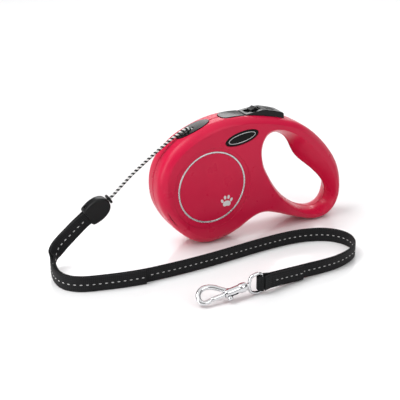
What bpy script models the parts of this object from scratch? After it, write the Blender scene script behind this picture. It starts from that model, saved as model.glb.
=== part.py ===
"""Retractable cord leash: hand-held housing with reel, brake button, cord, webbing strap and bolt snap."""
import math

import bmesh
import bpy
import numpy as np
from mathutils import Matrix, Vector

# ---------------------------------------------------------------- driving dimensions (millimetres, degrees)
HALF_T = 13.5          # half thickness of the housing
SPLIT = 0.15           # half gap between the two shells
RIM = 6.0              # half width of the straight rim
SHOULDER_ROUND = 2.1   # fullness of the shoulder where it leaves the rim
SHOULDER_END = 1.25    # how sharply it meets the broad face
TAPER_X = (30.0, 42.0, 54.0, 66.0, 78.0, 90.0)   # the grip gets thinner from x to x
TAPER_K = (1.0, 0.96, 0.89, 0.82, 0.77, 0.75)    # share of the thickness left there
REEL = (-37.5, 47.0)   # reel axis, x and z
CHAMBER_R = 38.5
CHAMBER_Y = 11.3
AXLE_R = 3.0
TEETH = 24
TOOTH_TIP = 36.0
TOOTH_ROOT = 33.4
CORD_D = 2.3
COIL_IN = 13.4
COIL_OUT = 34.0
STRAP_W = 11.0
STRAP_T = 1.6
PIVOT = (-3.0, 91.5)   # brake button pivot, x and z
CONN = (-124.5, 0.0, 42.5)
CONN_TILT = 32.0
HOOK_DROP = 8.5        # slope of the snap's axis towards its loop
HOOK_ROLL = 32.0       # how far the snap's plane is rolled up from the floor

MM = 0.001
SEG = 48

for old in list(bpy.data.objects):
    bpy.data.objects.remove(old, do_unlink=True)


# ---------------------------------------------------------------- materials
def material(name, colour, rough, metal=0.0):
    mat = bpy.data.materials.new(name)
    mat.use_nodes = True
    bsdf = mat.node_tree.nodes["Principled BSDF"]
    bsdf.inputs["Base Color"].default_value = (*colour, 1.0)
    bsdf.inputs["Roughness"].default_value = rough
    bsdf.inputs["Metallic"].default_value = metal
    mat.diffuse_color = (*colour, 1.0)
    return mat


RED = (0.62, 0.012, 0.035)
BLACK = (0.02, 0.02, 0.021)
STEEL = (0.55, 0.55, 0.56)


# ---------------------------------------------------------------- mesh helpers
def finish(name, bm, mat, smooth=True, location=(0, 0, 0), weld=True):
    """Turn a bmesh in millimetres into a named object, origin at location (millimetres)."""
    if weld:
        bmesh.ops.remove_doubles(bm, verts=bm.verts, dist=1e-5)
    bmesh.ops.recalc_face_normals(bm, faces=bm.faces)
    loc = Vector(location)
    for vert in bm.verts:
        vert.co = (vert.co - loc) * MM
    mesh = bpy.data.meshes.new(name)
    bm.to_mesh(mesh)
    bm.free()
    obj = bpy.data.objects.new(name, mesh)
    bpy.context.scene.collection.objects.link(obj)
    obj.location = loc * MM
    if mat is None:
        obj.hide_render = True
        obj.display_type = "WIRE"
    else:
        mesh.materials.append(mat)
        if smooth:
            for poly in mesh.polygons:
                poly.use_smooth = True
    return obj


def boolean(obj, cutter, operation="DIFFERENCE"):
    mod = obj.modifiers.new(cutter.name, "BOOLEAN")
    mod.object = cutter
    mod.operation = operation
    mod.solver = "EXACT"


def closed_curve(points, count):
    """Smooth closed curve through points of any dimension, sampled evenly along its length."""
    pts = np.array(points, float)
    n = len(pts)
    chord = np.sqrt(np.linalg.norm(np.roll(pts[:, :2], -1, 0) - pts[:, :2], axis=1)) ** 2
    knots = np.concatenate([[0.0], np.cumsum(chord)])
    system = np.zeros((n, n))
    rhs = np.zeros((n, pts.shape[1]))
    for i in range(n):
        before = chord[i - 1]
        after = chord[i]
        system[i, i - 1] += after
        system[i, i] += 2 * (before + after)
        system[i, (i + 1) % n] += before
        slope_in = (pts[i] - pts[i - 1]) / before
        slope_out = (pts[(i + 1) % n] - pts[i]) / after
        rhs[i] = 3 * (after * slope_in + before * slope_out)
    tangent = np.linalg.solve(system, rhs)
    dense = []
    for i in range(n):
        for k in range(24):
            t = k / 24.0
            h = chord[i]
            dense.append((2 * t**3 - 3 * t**2 + 1) * pts[i] + (t**3 - 2 * t**2 + t) * h * tangent[i]
                         + (3 * t**2 - 2 * t**3) * pts[(i + 1) % n] + (t**3 - t**2) * h * tangent[(i + 1) % n])
    dense = np.array(dense + [dense[0]])
    if count is None:
        return dense[:-1]
    run = np.concatenate([[0.0], np.cumsum(np.linalg.norm(np.diff(dense[:, :2], axis=0), axis=1))])
    want = np.linspace(0, run[-1], count, endpoint=False)
    return np.stack([np.interp(want, run, dense[:, k]) for k in range(pts.shape[1])], 1)


def open_curve(points, count):
    """Smooth open curve through 3-D points, sampled evenly."""
    pts = np.array(points, float)
    ext = np.vstack([2 * pts[0] - pts[1], pts, 2 * pts[-1] - pts[-2]])
    dense = []
    for i in range(1, len(ext) - 2):
        p0, p1, p2, p3 = ext[i - 1:i + 3]
        d1 = np.linalg.norm(p1 - p0) ** 0.5
        d2 = np.linalg.norm(p2 - p1) ** 0.5
        d3 = np.linalg.norm(p3 - p2) ** 0.5
        m1 = (p1 - p0) / d1 - (p2 - p0) / (d1 + d2) + (p2 - p1) / d2
        m2 = (p2 - p1) / d2 - (p3 - p1) / (d2 + d3) + (p3 - p2) / d3
        for k in range(24):
            t = k / 24.0
            dense.append((2 * t**3 - 3 * t**2 + 1) * p1 + (t**3 - 2 * t**2 + t) * d2 * m1
                         + (3 * t**2 - 2 * t**3) * p2 + (t**3 - t**2) * d2 * m2)
    dense = np.array(dense + [pts[-1]])
    run = np.concatenate([[0.0], np.cumsum(np.linalg.norm(np.diff(dense, axis=0), axis=1))])
    want = np.linspace(0, run[-1], count)
    return np.stack([np.interp(want, run, dense[:, k]) for k in range(3)], 1)


def inset(loop, amount):
    """Move a closed 2-D loop (anticlockwise) inwards by an amount per point."""
    ahead = np.roll(loop, -1, 0) - np.roll(loop, 1, 0)
    normal = np.stack([-ahead[:, 1], ahead[:, 0]], 1)
    normal /= np.linalg.norm(normal, axis=1)[:, None]
    return loop + normal * np.reshape(amount, (-1, 1))


def bridge(bm, lower, upper):
    n = len(lower)
    for i in range(n):
        bm.faces.new((lower[i], lower[(i + 1) % n], upper[(i + 1) % n], upper[i]))


def ring_verts(bm, coords):
    return [bm.verts.new(c) for c in coords]


def fill_between(bm, *loops):
    """Flat fill bounded by one outer loop and any inner loops."""
    edges = []
    for loop in loops:
        for i in range(len(loop)):
            edges.append(bm.edges.get((loop[i], loop[(i + 1) % len(loop)])))
    bmesh.ops.triangle_fill(bm, use_beauty=True, use_dissolve=False, edges=edges)


def loft(name, rings, mat, smooth=True, location=(0, 0, 0)):
    """Closed body through rings of equal count, ends capped with one face each."""
    bm = bmesh.new()
    made = [ring_verts(bm, ring) for ring in rings]
    for a, b in zip(made, made[1:]):
        bridge(bm, a, b)
    bm.faces.new(made[0])
    bm.faces.new(made[-1])
    return finish(name, bm, mat, smooth, location)


def turned_ring(bm, profile, centre, segments=SEG, tooth=None):
    """Revolve a closed (radius, y) profile about the Y axis through centre (x, z)."""
    rings = []
    for s in range(segments):
        ang = 2 * math.pi * s / segments
        row = []
        for item in profile:
            r = item[0]
            if len(item) > 2:
                r = tooth(s)
            row.append(bm.verts.new((centre[0] + r * math.cos(ang), item[1], centre[1] + r * math.sin(ang))))
        rings.append(row)
    m = len(profile)
    for s in range(segments):
        a = rings[s]
        b = rings[(s + 1) % segments]
        for k in range(m):
            bm.faces.new((a[k], a[(k + 1) % m], b[(k + 1) % m], b[k]))


def ring_body(name, profile, centre, mat, segments=SEG, tooth=None, location=(0, 0, 0)):
    bm = bmesh.new()
    turned_ring(bm, profile, centre, segments, tooth)
    return finish(name, bm, mat, True, location)


def frame_from(axis, hint=(0, 0, 1)):
    """Right-handed frame whose third column is axis."""
    w = Vector(axis).normalized()
    u = Vector(hint).cross(w)
    if u.length < 1e-6:
        u = Vector((1, 0, 0)).cross(w)
    u.normalize()
    v = w.cross(u)
    return Matrix((u, v, w)).transposed()


def rod_rings(start, end, profile, segments):
    """Rings of a turned solid rod: profile of (distance from start, radius)."""
    basis = frame_from(Vector(end) - Vector(start))
    rings = []
    for dist, rad in profile:
        ring = []
        for s in range(segments):
            ang = 2 * math.pi * s / segments
            ring.append(Vector(start) + basis @ Vector((rad * math.cos(ang), rad * math.sin(ang), dist)))
        rings.append(ring)
    return rings


def rod(name, start, end, radius, mat, segments=24, chamfer=0.0, location=(0, 0, 0)):
    length = (Vector(end) - Vector(start)).length
    profile = [(0, radius), (length, radius)]
    if chamfer:
        profile = [(0, radius - chamfer), (chamfer, radius), (length - chamfer, radius), (length, radius - chamfer)]
    return loft(name, rod_rings(start, end, profile, segments), mat, True, location)


def prism_xz(name, outline, y0, y1, mat, smooth=False, location=(0, 0, 0)):
    rings = [[(x, y0, z) for x, z in outline], [(x, y1, z) for x, z in outline]]
    return loft(name, rings, mat, smooth, location)


def ellipse(cx, cz, a, b, tilt, count):
    pts = []
    for s in range(count):
        ang = 2 * math.pi * s / count
        x = a * math.cos(ang)
        z = b * math.sin(ang)
        c = math.cos(math.radians(tilt))
        k = math.sin(math.radians(tilt))
        pts.append((cx + x * c - z * k, cz + x * k + z * c))
    return pts


def sweep(name, path, section, mat, up=(0, 0, 1), smooth=True, scale=None, location=(0, 0, 0)):
    """Sweep a section of (side, up) offsets along a path, upright against up."""
    path = [Vector(p) for p in path]
    rings = []
    for i, point in enumerate(path):
        ahead = path[min(i + 1, len(path) - 1)] - path[max(i - 1, 0)]
        ahead.normalize()
        upright = up[i] if isinstance(up, list) else up
        side = ahead.cross(Vector(upright)).normalized()
        top = side.cross(ahead)
        k = 1.0 if scale is None else scale[i]
        rings.append([point + side * (a * k) + top * (b * k) for a, b in section])
    return loft(name, rings, mat, smooth, location)


def wire(name, path, radius, mat, resolution=2, location=(0, 0, 0)):
    """Round cord or spring wire as a bevelled curve."""
    data = bpy.data.curves.new(name, "CURVE")
    data.dimensions = "3D"
    data.bevel_depth = radius * MM
    data.bevel_resolution = resolution
    data.use_fill_caps = True
    line = data.splines.new("POLY")
    line.points.add(len(path) - 1)
    loc = Vector(location)
    for point, co in zip(line.points, path):
        point.co = (*((Vector(co) - loc) * MM), 1.0)
    obj = bpy.data.objects.new(name, data)
    obj.location = loc * MM
    obj.data.materials.append(mat)
    bpy.context.scene.collection.objects.link(obj)
    return obj


# ---------------------------------------------------------------- housing outline (x, z, shoulder inset)
OUTLINE = [
    (-37.5, 0.0, 6.0), (-27.5, 1.1, 6.0), (-18.5, 3.6, 5.5), (-10.0, 7.4, 5.0), (-2.8, 11.8, 4.5),
    (3.5, 14.6, 4.2), (10.0, 15.4, 4.0), (18.0, 13.8, 3.6), (28.8, 9.8, 3.2), (40.4, 5.2, 3.0),
    (50.5, 1.6, 3.0), (60.0, 0.0, 3.0), (69.5, 1.6, 3.2), (77.0, 7.4, 3.6), (81.2, 16.4, 4.0),
    (81.8, 27.0, 4.4), (78.2, 43.0, 4.8), (69.0, 58.2, 5.0), (57.4, 71.0, 5.0), (46.8, 79.6, 4.7),
    (37.5, 85.0, 4.5), (27.0, 89.2, 4.5), (15.0, 92.6, 4.5), (2.5, 95.2, 4.6), (-10.0, 96.8, 4.8),
    (-22.0, 96.9, 5.0), (-36.0, 94.8, 5.2), (-47.0, 91.3, 5.4), (-57.0, 86.9, 5.6), (-66.0, 80.8, 5.8),
    (-73.5, 73.0, 6.0), (-78.6, 62.5, 6.0), (-80.0, 51.0, 6.0), (-78.6, 39.5, 6.0), (-74.0, 28.8, 6.0),
    (-66.6, 18.0, 6.0), (-57.8, 9.2, 6.0), (-47.8, 2.6, 6.0),
]
# hand opening: edge at the middle plane (x, z), crease on the broad face (x, z), steepness of the slope between
OPENING = [
    (8.8, 62.0, 4.4, 62.5, 3.0), (9.2, 70.0, 4.4, 72.0, 3.0), (12.6, 75.4, 7.8, 80.0, 2.6),
    (19.0, 77.8, 14.0, 83.4, 2.0), (26.0, 76.2, 22.2, 82.6, 1.6), (32.0, 72.2, 31.0, 79.0, 1.3),
    (36.2, 66.0, 40.0, 73.4, 1.2), (40.2, 58.2, 49.0, 66.0, 1.2), (46.5, 50.8, 56.6, 58.3, 1.2),
    (55.0, 43.5, 63.8, 50.0, 1.2), (63.5, 35.3, 70.0, 41.0, 1.2), (69.4, 27.5, 74.6, 31.0, 1.3),
    (71.8, 20.5, 75.6, 21.6, 1.5), (71.0, 14.8, 74.0, 13.2, 1.6), (67.4, 10.8, 69.8, 7.6, 1.8),
    (60.6, 8.5, 60.9, 5.0, 2.0), (52.0, 9.8, 50.5, 6.9, 2.4), (43.5, 13.4, 41.5, 10.9, 2.6),
    (34.5, 19.8, 32.2, 17.8, 3.0), (26.2, 28.0, 23.4, 26.2, 3.0), (19.0, 37.5, 15.8, 36.2, 3.0),
    (13.4, 47.5, 9.8, 46.8, 3.0), (10.0, 55.5, 6.0, 55.0, 3.0),
]
OUT_N = 76
HOLE_N = 48


def shoulder(y):
    """Share of the shoulder inset reached at distance y from the middle plane."""
    if y <= RIM:
        return 0.02 * y / RIM
    t = (y - RIM) / (HALF_T - RIM)
    return 0.02 + 0.98 * (1 - (1 - t**SHOULDER_ROUND) ** (1 / SHOULDER_END))


def outer_ring(y, grow=0.0):
    pts = closed_curve(OUTLINE, OUT_N)
    loop = inset(pts[:, :2], pts[:, 2] * shoulder(abs(y)) - grow)
    return [(x, y, z) for x, z in loop]


def hole_ring(y):
    pts = closed_curve(OPENING, HOLE_N)
    blend = (abs(y) / HALF_T) ** pts[:, 4]
    loop = pts[:, :2] + (pts[:, 2:4] - pts[:, :2]) * blend[:, None]
    return [(x, y, z) for x, z in loop]


def taper(bm):
    """Thin the grip: cross edges at the taper's knots, then scale y from the parting plane outwards."""
    for x in TAPER_X[:-1]:
        geom = list(bm.verts) + list(bm.edges) + list(bm.faces)
        bmesh.ops.bisect_plane(bm, geom=geom, dist=1e-4, plane_co=(x, 0, 0), plane_no=(1, 0, 0))
    for vert in bm.verts:
        depth = abs(vert.co.y) - SPLIT
        left = float(np.interp(vert.co.x, TAPER_X, TAPER_K))
        vert.co.y = math.copysign(SPLIT + depth * left, vert.co.y)


def housing_half(name, side, mat):
    bm = bmesh.new()
    outer = [ring_verts(bm, outer_ring(side * y)) for y in (SPLIT, RIM, 9.2, 11.6, 12.9, HALF_T)]
    inner = [ring_verts(bm, hole_ring(side * y)) for y in (SPLIT, 4.5, 8.5, 11.5, HALF_T)]
    for stack in (outer, inner):
        for a, b in zip(stack, stack[1:]):
            bridge(bm, a, b)
    fill_between(bm, outer[0], inner[0])
    fill_between(bm, outer[-1], inner[-1])
    taper(bm)
    return finish(name, bm, mat, False)


red_front = material("housing_red_front", RED, 0.35)
red_rear = material("housing_red_rear", RED, 0.35)
front = housing_half("front_shell", -1, red_front)
rear = housing_half("rear_shell", 1, red_rear)

# rim body used to shape the flush inserts to the curve of the rim
bm = bmesh.new()
stack = [ring_verts(bm, outer_ring(y, 0.5)) for y in (-8.6, -RIM, RIM, 8.6)]
for a, b in zip(stack, stack[1:]):
    bridge(bm, a, b)
bm.faces.new(stack[0])
bm.faces.new(stack[-1])
rim_cut = finish("cut_rim", bm, None)

# ---------------------------------------------------------------- cavities
chamber = rod("cut_chamber", (REEL[0], -CHAMBER_Y, REEL[1]), (REEL[0], CHAMBER_Y, REEL[1]), CHAMBER_R, None, 48)
axle_cut = rod("cut_axle", (REEL[0], -12.6, REEL[1]), (REEL[0], 12.6, REEL[1]), AXLE_R + 0.15, None, 24)
pin_cut = rod("cut_pivot_pin", (PIVOT[0], -9.2, PIVOT[1]), (PIVOT[0], 9.2, PIVOT[1]), 1.35, None, 16)
button_cut = prism_xz("cut_button_well", [(-6.6, 104), (-6.6, 87.6), (4.8, 87.0), (11, 84.9), (19.5, 83.5),
                                          (28.4, 83.0), (28.4, 104)], -6.9, 6.9, None)
lever_cut = prism_xz("cut_lever_slot", [(-6.5, 57), (-1.5, 55.5), (2.6, 57.5), (4.2, 63), (4.6, 72), (4.6, 90),
                                        (-6.5, 90), (-8.5, 76)], -1.9, 1.6, None)
# hollow core of the grip
grip_in = [(39.5, 76.2), (47.6, 68.6), (54.6, 61.2), (62.0, 53.4), (68.0, 44.6), (72.2, 34.6)]
grip_out = [(75.2, 36.0), (71.8, 45.6), (64.6, 56.6), (54.8, 67.6), (46.4, 75.8), (40.6, 80.2)]
grip_cut = prism_xz("cut_grip_core", grip_in + grip_out, -7.6, 7.6, None)
# pad well in front of the button
PAD = [(-6.6, -6.9), (-20.0, -6.9), (-23.2, -5.9), (-25.0, -3.6), (-25.6, 0.0), (-25.0, 3.6), (-23.2, 5.9),
       (-20.0, 6.9), (-6.6, 6.9)]
pad_well = loft("cut_pad_well", [[(x, y, z) for x, y in PAD] for z in (93.2, 104.0)], None)
# outlet well, square to the rim
OUTLET = Vector((-47.2, 0.0, 91.2))
OUT_T = Vector((0.937, 0.0, 0.349))
OUT_N3 = Vector((-0.349, 0.0, 0.937))


def outlet_rings(a, b, low, high, count=40):
    rings = []
    for h in (low, high):
        ring = []
        for s in range(count):
            ang = 2 * math.pi * s / count
            ring.append(OUTLET + OUT_T * (a * math.cos(ang)) + Vector((0, b * math.sin(ang), 0)) + OUT_N3 * h)
        rings.append(ring)
    return rings


outlet_well = loft("cut_outlet_well", outlet_rings(14.2, 6.6, -4.6, 8.0), None)
# cord run from the reel to the outlet, over its lip and down to the connector
CORD_PATH = [
    (-24.7, -5.15, 80.2), (-31.0, -4.0, 82.4), (-37.5, -2.6, 84.9), (-44.0, -0.9, 88.2), (-49.0, -0.1, 90.8),
    (-52.4, 0.0, 91.5), (-56.0, 0.0, 90.1), (-61.0, 0.0, 87.4), (-68.5, 0.0, 83.0), (-77.0, 0.0, 77.5),
    (-86.5, 0.0, 70.9), (-96.2, 0.0, 63.9), (-105.5, 0.0, 56.1), (-113.0, 0.0, 49.7), (-118.0, 0.0, 46.56),
    (-121.6, 0.0, 44.31),
]
circle16 = [(math.cos(2 * math.pi * s / 16), math.sin(2 * math.pi * s / 16)) for s in range(16)]
lead = open_curve(CORD_PATH[:7], 22)
tunnel = sweep("cut_cord_tunnel", lead, [(2.9 * a, 2.9 * b) for a, b in circle16], None, up=(0, 1, 0))
throat = sweep("cut_outlet_throat", lead, [(1.75 * a, 1.75 * b) for a, b in circle16], None, up=(0, 1, 0),
               scale=[1.0 + 0.35 * max(0.0, (i - 12) / 9.0) for i in range(22)])

# broad face details
disc_f = rod("cut_dish_front", (REEL[0], -13.15, 46.0), (REEL[0], -15, 46.0), 32.0, None, 48)
disc_r = rod("cut_dish_rear", (REEL[0], 13.15, 46.0), (REEL[0], 15, 46.0), 32.0, None, 48)
groove = ring_body("cut_ring_groove", [(26.7, -14), (28.3, -14), (28.3, -12.6), (26.7, -12.6)], REEL, None, 48)
badge_cut_f = prism_xz("cut_badge_front", ellipse(-12.6, 82.0, 14.4, 5.3, 10, 28), -14.5, -12.7, None)
badge_cut_r = prism_xz("cut_badge_rear", ellipse(-12.6, 82.0, 14.4, 5.3, 10, 28), 12.7, 14.5, None)

SCREWS = {"neck": (5.0, 27.0), "tail": (20.5, 19.5)}
screw_cuts = []
for key, (x, z) in SCREWS.items():
    rings = rod_rings((x, -8.2, z), (x, 15, z), [(0, 1.4), (18.6, 1.4), (18.6, 2.7), (23.2, 2.7)], 20)
    screw_cuts.append(loft("cut_screw_" + key, rings, None))

for shell in (front, rear):
    for cutter in (chamber, axle_cut, pin_cut, button_cut, lever_cut, grip_cut, pad_well, outlet_well, tunnel):
        boolean(shell, cutter)
boolean(front, disc_f)
boolean(front, groove)
boolean(front, badge_cut_f)
boolean(rear, disc_r)
boolean(rear, badge_cut_r)
for shell in (front, rear):
    for cutter in screw_cuts:
        boolean(shell, cutter)

# ---------------------------------------------------------------- trim on the housing
silver = material("ring_silver", (0.6, 0.6, 0.61), 0.3, 0.6)
ring_body("trim_ring", [(26.9, -13.35), (28.1, -13.35), (28.1, -12.75), (26.9, -12.75)], REEL, silver, 48)


def badge(name, side, mat):
    outer = ellipse(-12.6, 82.0, 14.1, 5.0, 10, 28)
    mid = ellipse(-12.6, 82.0, 13.7, 4.6, 10, 28)
    top = ellipse(-12.6, 82.0, 12.0, 3.2, 10, 28)
    rings = [[(x, side * 12.85, z) for x, z in outer], [(x, side * 13.2, z) for x, z in outer],
             [(x, side * 13.35, z) for x, z in mid], [(x, side * 13.45, z) for x, z in top]]
    loft(name, rings, mat)


badge("badge_front", -1, material("badge_black_front", BLACK, 0.12))
badge("badge_rear", 1, material("badge_black_rear", BLACK, 0.12))

insert = loft("cord_outlet", outlet_rings(13.9, 6.3, -4.3, 8.0), material("outlet_black", BLACK, 0.3))
boolean(insert, rim_cut, "INTERSECT")
boolean(insert, throat)

PAD_IN = [(-6.95, -6.6), (-19.9, -6.6), (-22.95, -5.65), (-24.7, -3.45), (-25.3, 0.0), (-24.7, 3.45),
          (-22.95, 5.65), (-19.9, 6.6), (-6.95, 6.6)]
pad = loft("button_pad", [[(x, y, z) for x, y in PAD_IN] for z in (93.5, 104.0)],
           material("pad_black", BLACK, 0.25), False)
boolean(pad, rim_cut, "INTERSECT")

# ---------------------------------------------------------------- reel
reel_mat = material("reel_grey", (0.35, 0.35, 0.36), 0.5)


def tooth_radius(s):
    return TOOTH_TIP if s % 3 == 0 else TOOTH_ROOT


reel = ring_body("reel", [(3.3, -10.9), (36.5, -10.9), (36.5, -9.7), (13.0, -9.7), (13.0, -0.9), (36.0, -0.9, 1),
                          (36.0, 0.6, 1), (22.0, 0.6), (22.0, 10.2), (20.5, 10.2), (20.5, 0.6), (3.3, 0.6)],
                 REEL, reel_mat, 72, tooth_radius, (REEL[0], 0, REEL[1]))
ring_body("wound_cord", [(COIL_IN, -9.35), (32.8, -9.35), (COIL_OUT, -7.9), (COIL_OUT, -2.7), (32.8, -1.25),
                         (COIL_IN, -1.25)], REEL, material("wound_cord_mix", (0.25, 0.25, 0.26), 0.8), 48,
          None, (REEL[0], 0, REEL[1]))
ring_body("spring_cover", [(6.2, 10.45), (21.8, 10.45), (21.8, 11.05), (6.2, 11.05)], REEL,
          material("cover_grey", (0.3, 0.3, 0.31), 0.5), 48, None, (REEL[0], 0, REEL[1]))
rod("axle", (REEL[0], -12.4, REEL[1]), (REEL[0], 12.4, REEL[1]), AXLE_R, material("axle_steel", STEEL, 0.3, 1.0),
    24, 0.3)
ring_body("spring_arbor", [(3.3, 0.95), (5.0, 0.95), (5.0, 11.0), (3.3, 11.0)], REEL,
          material("arbor_steel", STEEL, 0.35, 1.0), 24)
# mainspring: flat spiral strip between arbor and cup
spiral = []
turns = 4.5
steps = 81
for i in range(steps + 1):
    ang = 2 * math.pi * turns * i / steps
    rad = 5.9 + (19.4 - 5.9) * i / steps
    spiral.append((REEL[0] + rad * math.cos(ang), 5.6, REEL[1] + rad * math.sin(ang)))
sweep("mainspring", spiral, [(-0.3, -4.3), (0.3, -4.3), (0.3, 4.3), (-0.3, 4.3)],
      material("mainspring_steel", (0.3, 0.32, 0.36), 0.3, 1.0), up=(0, 1, 0))

# ---------------------------------------------------------------- brake
lever_out = []
for ang in range(0, 181, 20):
    lever_out.append((PIVOT[0] + 2.9 * math.cos(math.radians(ang)), PIVOT[1] + 2.9 * math.sin(math.radians(ang))))
lever_out += [(-5.4, 88.6), (-4.4, 84.0), (-1.6, 76.0), (-0.6, 68.0), (-0.8, 62.0), (-2.5, 60.4), (-2.5, 59.0),
              (0.2, 58.4), (2.0, 60.0), (2.6, 66.0), (2.4, 76.0), (1.6, 84.0), (2.6, 86.6), (4.8, 88.2), (13.5, 87.2),
              (13.8, 88.9), (4.0, 90.0)]
# a clearance bore for the pivot pin is taken out below
lever = prism_xz("brake_lever", lever_out, -0.9, 0.6, material("lever_grey", (0.12, 0.12, 0.13), 0.45), False,
                 (PIVOT[0], 0, PIVOT[1]))
bore = rod("cut_lever_bore", (PIVOT[0], -8, PIVOT[1]), (PIVOT[0], 8, PIVOT[1]), 1.45, None, 20)
boolean(lever, bore)

button_side = [(-6.1, 93.0), (-6.1, 96.2), (-5.0, 96.9), (0.0, 97.5), (8.6, 98.2), (12.0, 98.0), (19.0, 96.2),
               (26.2, 93.8), (27.6, 92.8), (27.9, 87.6), (15.0, 89.4), (2.0, 93.6)]
button = prism_xz("brake_button", button_side, -6.6, 6.6, material("button_black", BLACK, 0.28), False,
                  (PIVOT[0], 0, PIVOT[1]))
bev = button.modifiers.new("edge", "BEVEL")
bev.width = 0.7 * MM
bev.segments = 2
bev.limit_method = "ANGLE"
bev.angle_limit = math.radians(35)
# cheeks round the pivot pin
for side in (-1, 1):
    hub = loft("hub", rod_rings((PIVOT[0], side * 2.2, PIVOT[1]), (PIVOT[0], side * 5.6, PIVOT[1]),
                                [(0, 2.6), (3.4, 2.6)], 20), None)
    hub.name = "add_hub_" + ("front" if side < 0 else "rear")
    boolean(button, hub, "UNION")
slot = prism_xz("cut_lock_slot", [(-3.4, 96.0), (9.4, 96.9), (9.4, 102), (-3.4, 102)], -3.3, 3.3, None)
under = prism_xz("cut_button_under", [(-7.4, 86.0), (-7.4, 94.8), (3.0, 94.9), (14.5, 91.9), (14.5, 86.0)], -1.8,
                 1.8, None)
boolean(button, slot)
boolean(button, under)
boolean(button, bore)
lock_out = [(0.2, 96.5), (0.4, 98.3), (2.6, 99.2), (4.4, 100.3), (5.4, 99.5), (6.8, 98.6), (7.6, 98.4),
            (7.8, 97.05)]
lock = prism_xz("lock_slider", lock_out, -3.0, 3.0, material("lock_black", (0.03, 0.03, 0.032), 0.3), False)
rod("pivot_pin", (PIVOT[0], -8.9, PIVOT[1]), (PIVOT[0], 8.9, PIVOT[1]), 1.15,
    material("pin_steel", STEEL, 0.3, 1.0), 16)
coil = []
for i in range(33):
    ang = 2 * math.pi * 4 * i / 32
    coil.append((21.5 + 2.2 * math.cos(ang), 2.2 * math.sin(ang), 84.25 + 3.6 * i / 32))
wire("button_spring", coil, 0.32, material("button_spring_steel", STEEL, 0.3, 1.0), 0, (21.5, 0, 83.9))

screw_profile = [(0, 1.1), (18.4, 1.1), (18.6, 2.4), (21.0, 2.4), (21.3, 2.1)]
for key, (x, z) in SCREWS.items():
    loft("screw_" + key, rod_rings((x, -7.9, z), (x, 15, z), screw_profile, 20),
         material("screw_steel_" + key, STEEL, 0.35, 1.0))

# ---------------------------------------------------------------- connector on the cord
PIN_U = -6.2           # the strap's pin, along the connector
CU = Vector((math.cos(math.radians(CONN_TILT)), 0, math.sin(math.radians(CONN_TILT))))
CW = Vector((-CU.z, 0, CU.x))


def conn(u, y, w):
    return Vector(CONN) + CU * u + CW * w + Vector((0, y, 0))


CONN_OUT = [(-9.3, -6.9), (-6.2, -7.9), (-1.6, -8.3), (3.2, -7.6), (6.9, -5.8), (9.0, -3.1), (9.5, 0.0),
            (9.0, 3.1), (6.9, 5.8), (3.2, 7.6), (-1.6, 8.3), (-6.2, 7.9), (-9.3, 6.9), (-9.7, 0.0)]
rings = []
for y, d in ((-4.2, 1.7), (-3.8, 0.8), (-2.8, 0.15), (0.0, 0.0), (2.8, 0.15), (3.8, 0.8), (4.2, 1.7)):
    loop = inset(closed_curve(CONN_OUT, 32), d)
    rings.append([conn(u, y, w) for u, w in loop])
connector = loft("connector_body", rings, material("connector_black", BLACK, 0.4))


def conn_box(name, u0, u1, y0, y1, w0, w1):
    rings = []
    for u in (u0, u1):
        rings.append([conn(u, y0, w0), conn(u, y1, w0), conn(u, y1, w1), conn(u, y0, w1)])
    return loft(name, rings, None)


boolean(connector, conn_box("cut_strap_slot", -14, -2.5, -3.45, 3.45, -5.85, 5.85))
boolean(connector, rod("cut_conn_pin", conn(PIN_U, 0, -6.9), conn(PIN_U, 0, 12.0), 1.35, None, 16))
boolean(connector, loft("cut_conn_bore", rod_rings(conn(-3.0, 0, 0), conn(14, 0, 0),
                                                   [(0, 2.65), (6.8, 2.65), (8.0, 1.5), (17, 1.5)], 20), None))
rod("connector_pin", conn(PIN_U, 0, -6.6), conn(PIN_U, 0, 7.0), 1.15, material("conn_pin_steel", STEEL, 0.3, 1.0), 16)
collar_profile = [(1.5, 9.85), (3.4, 9.85), (3.8, 10.25), (3.8, 11.2), (3.3, 11.75), (1.5, 11.75)]
bm = bmesh.new()
basis = frame_from(CU)
rows = []
for s in range(24):
    ang = 2 * math.pi * s / 24
    rows.append([bm.verts.new(Vector(CONN) + basis @ Vector((r * math.cos(ang), r * math.sin(ang), d)))
                 for r, d in collar_profile])
for s in range(24):
    a = rows[s]
    b = rows[(s + 1) % 24]
    for k in range(len(collar_profile)):
        n = (k + 1) % len(collar_profile)
        bm.faces.new((a[k], a[n], b[n], b[k]))
finish("connector_collar", bm, material("collar_black", BLACK, 0.35))
loft("cord_knot", rod_rings(conn(-1.6, 0, 0), conn(3.0, 0, 0),
                            [(0, 1.1), (0.7, 1.9), (1.9, 2.3), (3.3, 2.1), (4.4, 1.2)], 16),
     material("knot_mix", (0.3, 0.3, 0.31), 0.8))

# ---------------------------------------------------------------- free cord
wire("cord", [Vector(p) for p in open_curve(CORD_PATH, 44)], CORD_D / 2,
     material("cord_mix", (0.3, 0.3, 0.31), 0.8), 2)

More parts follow.
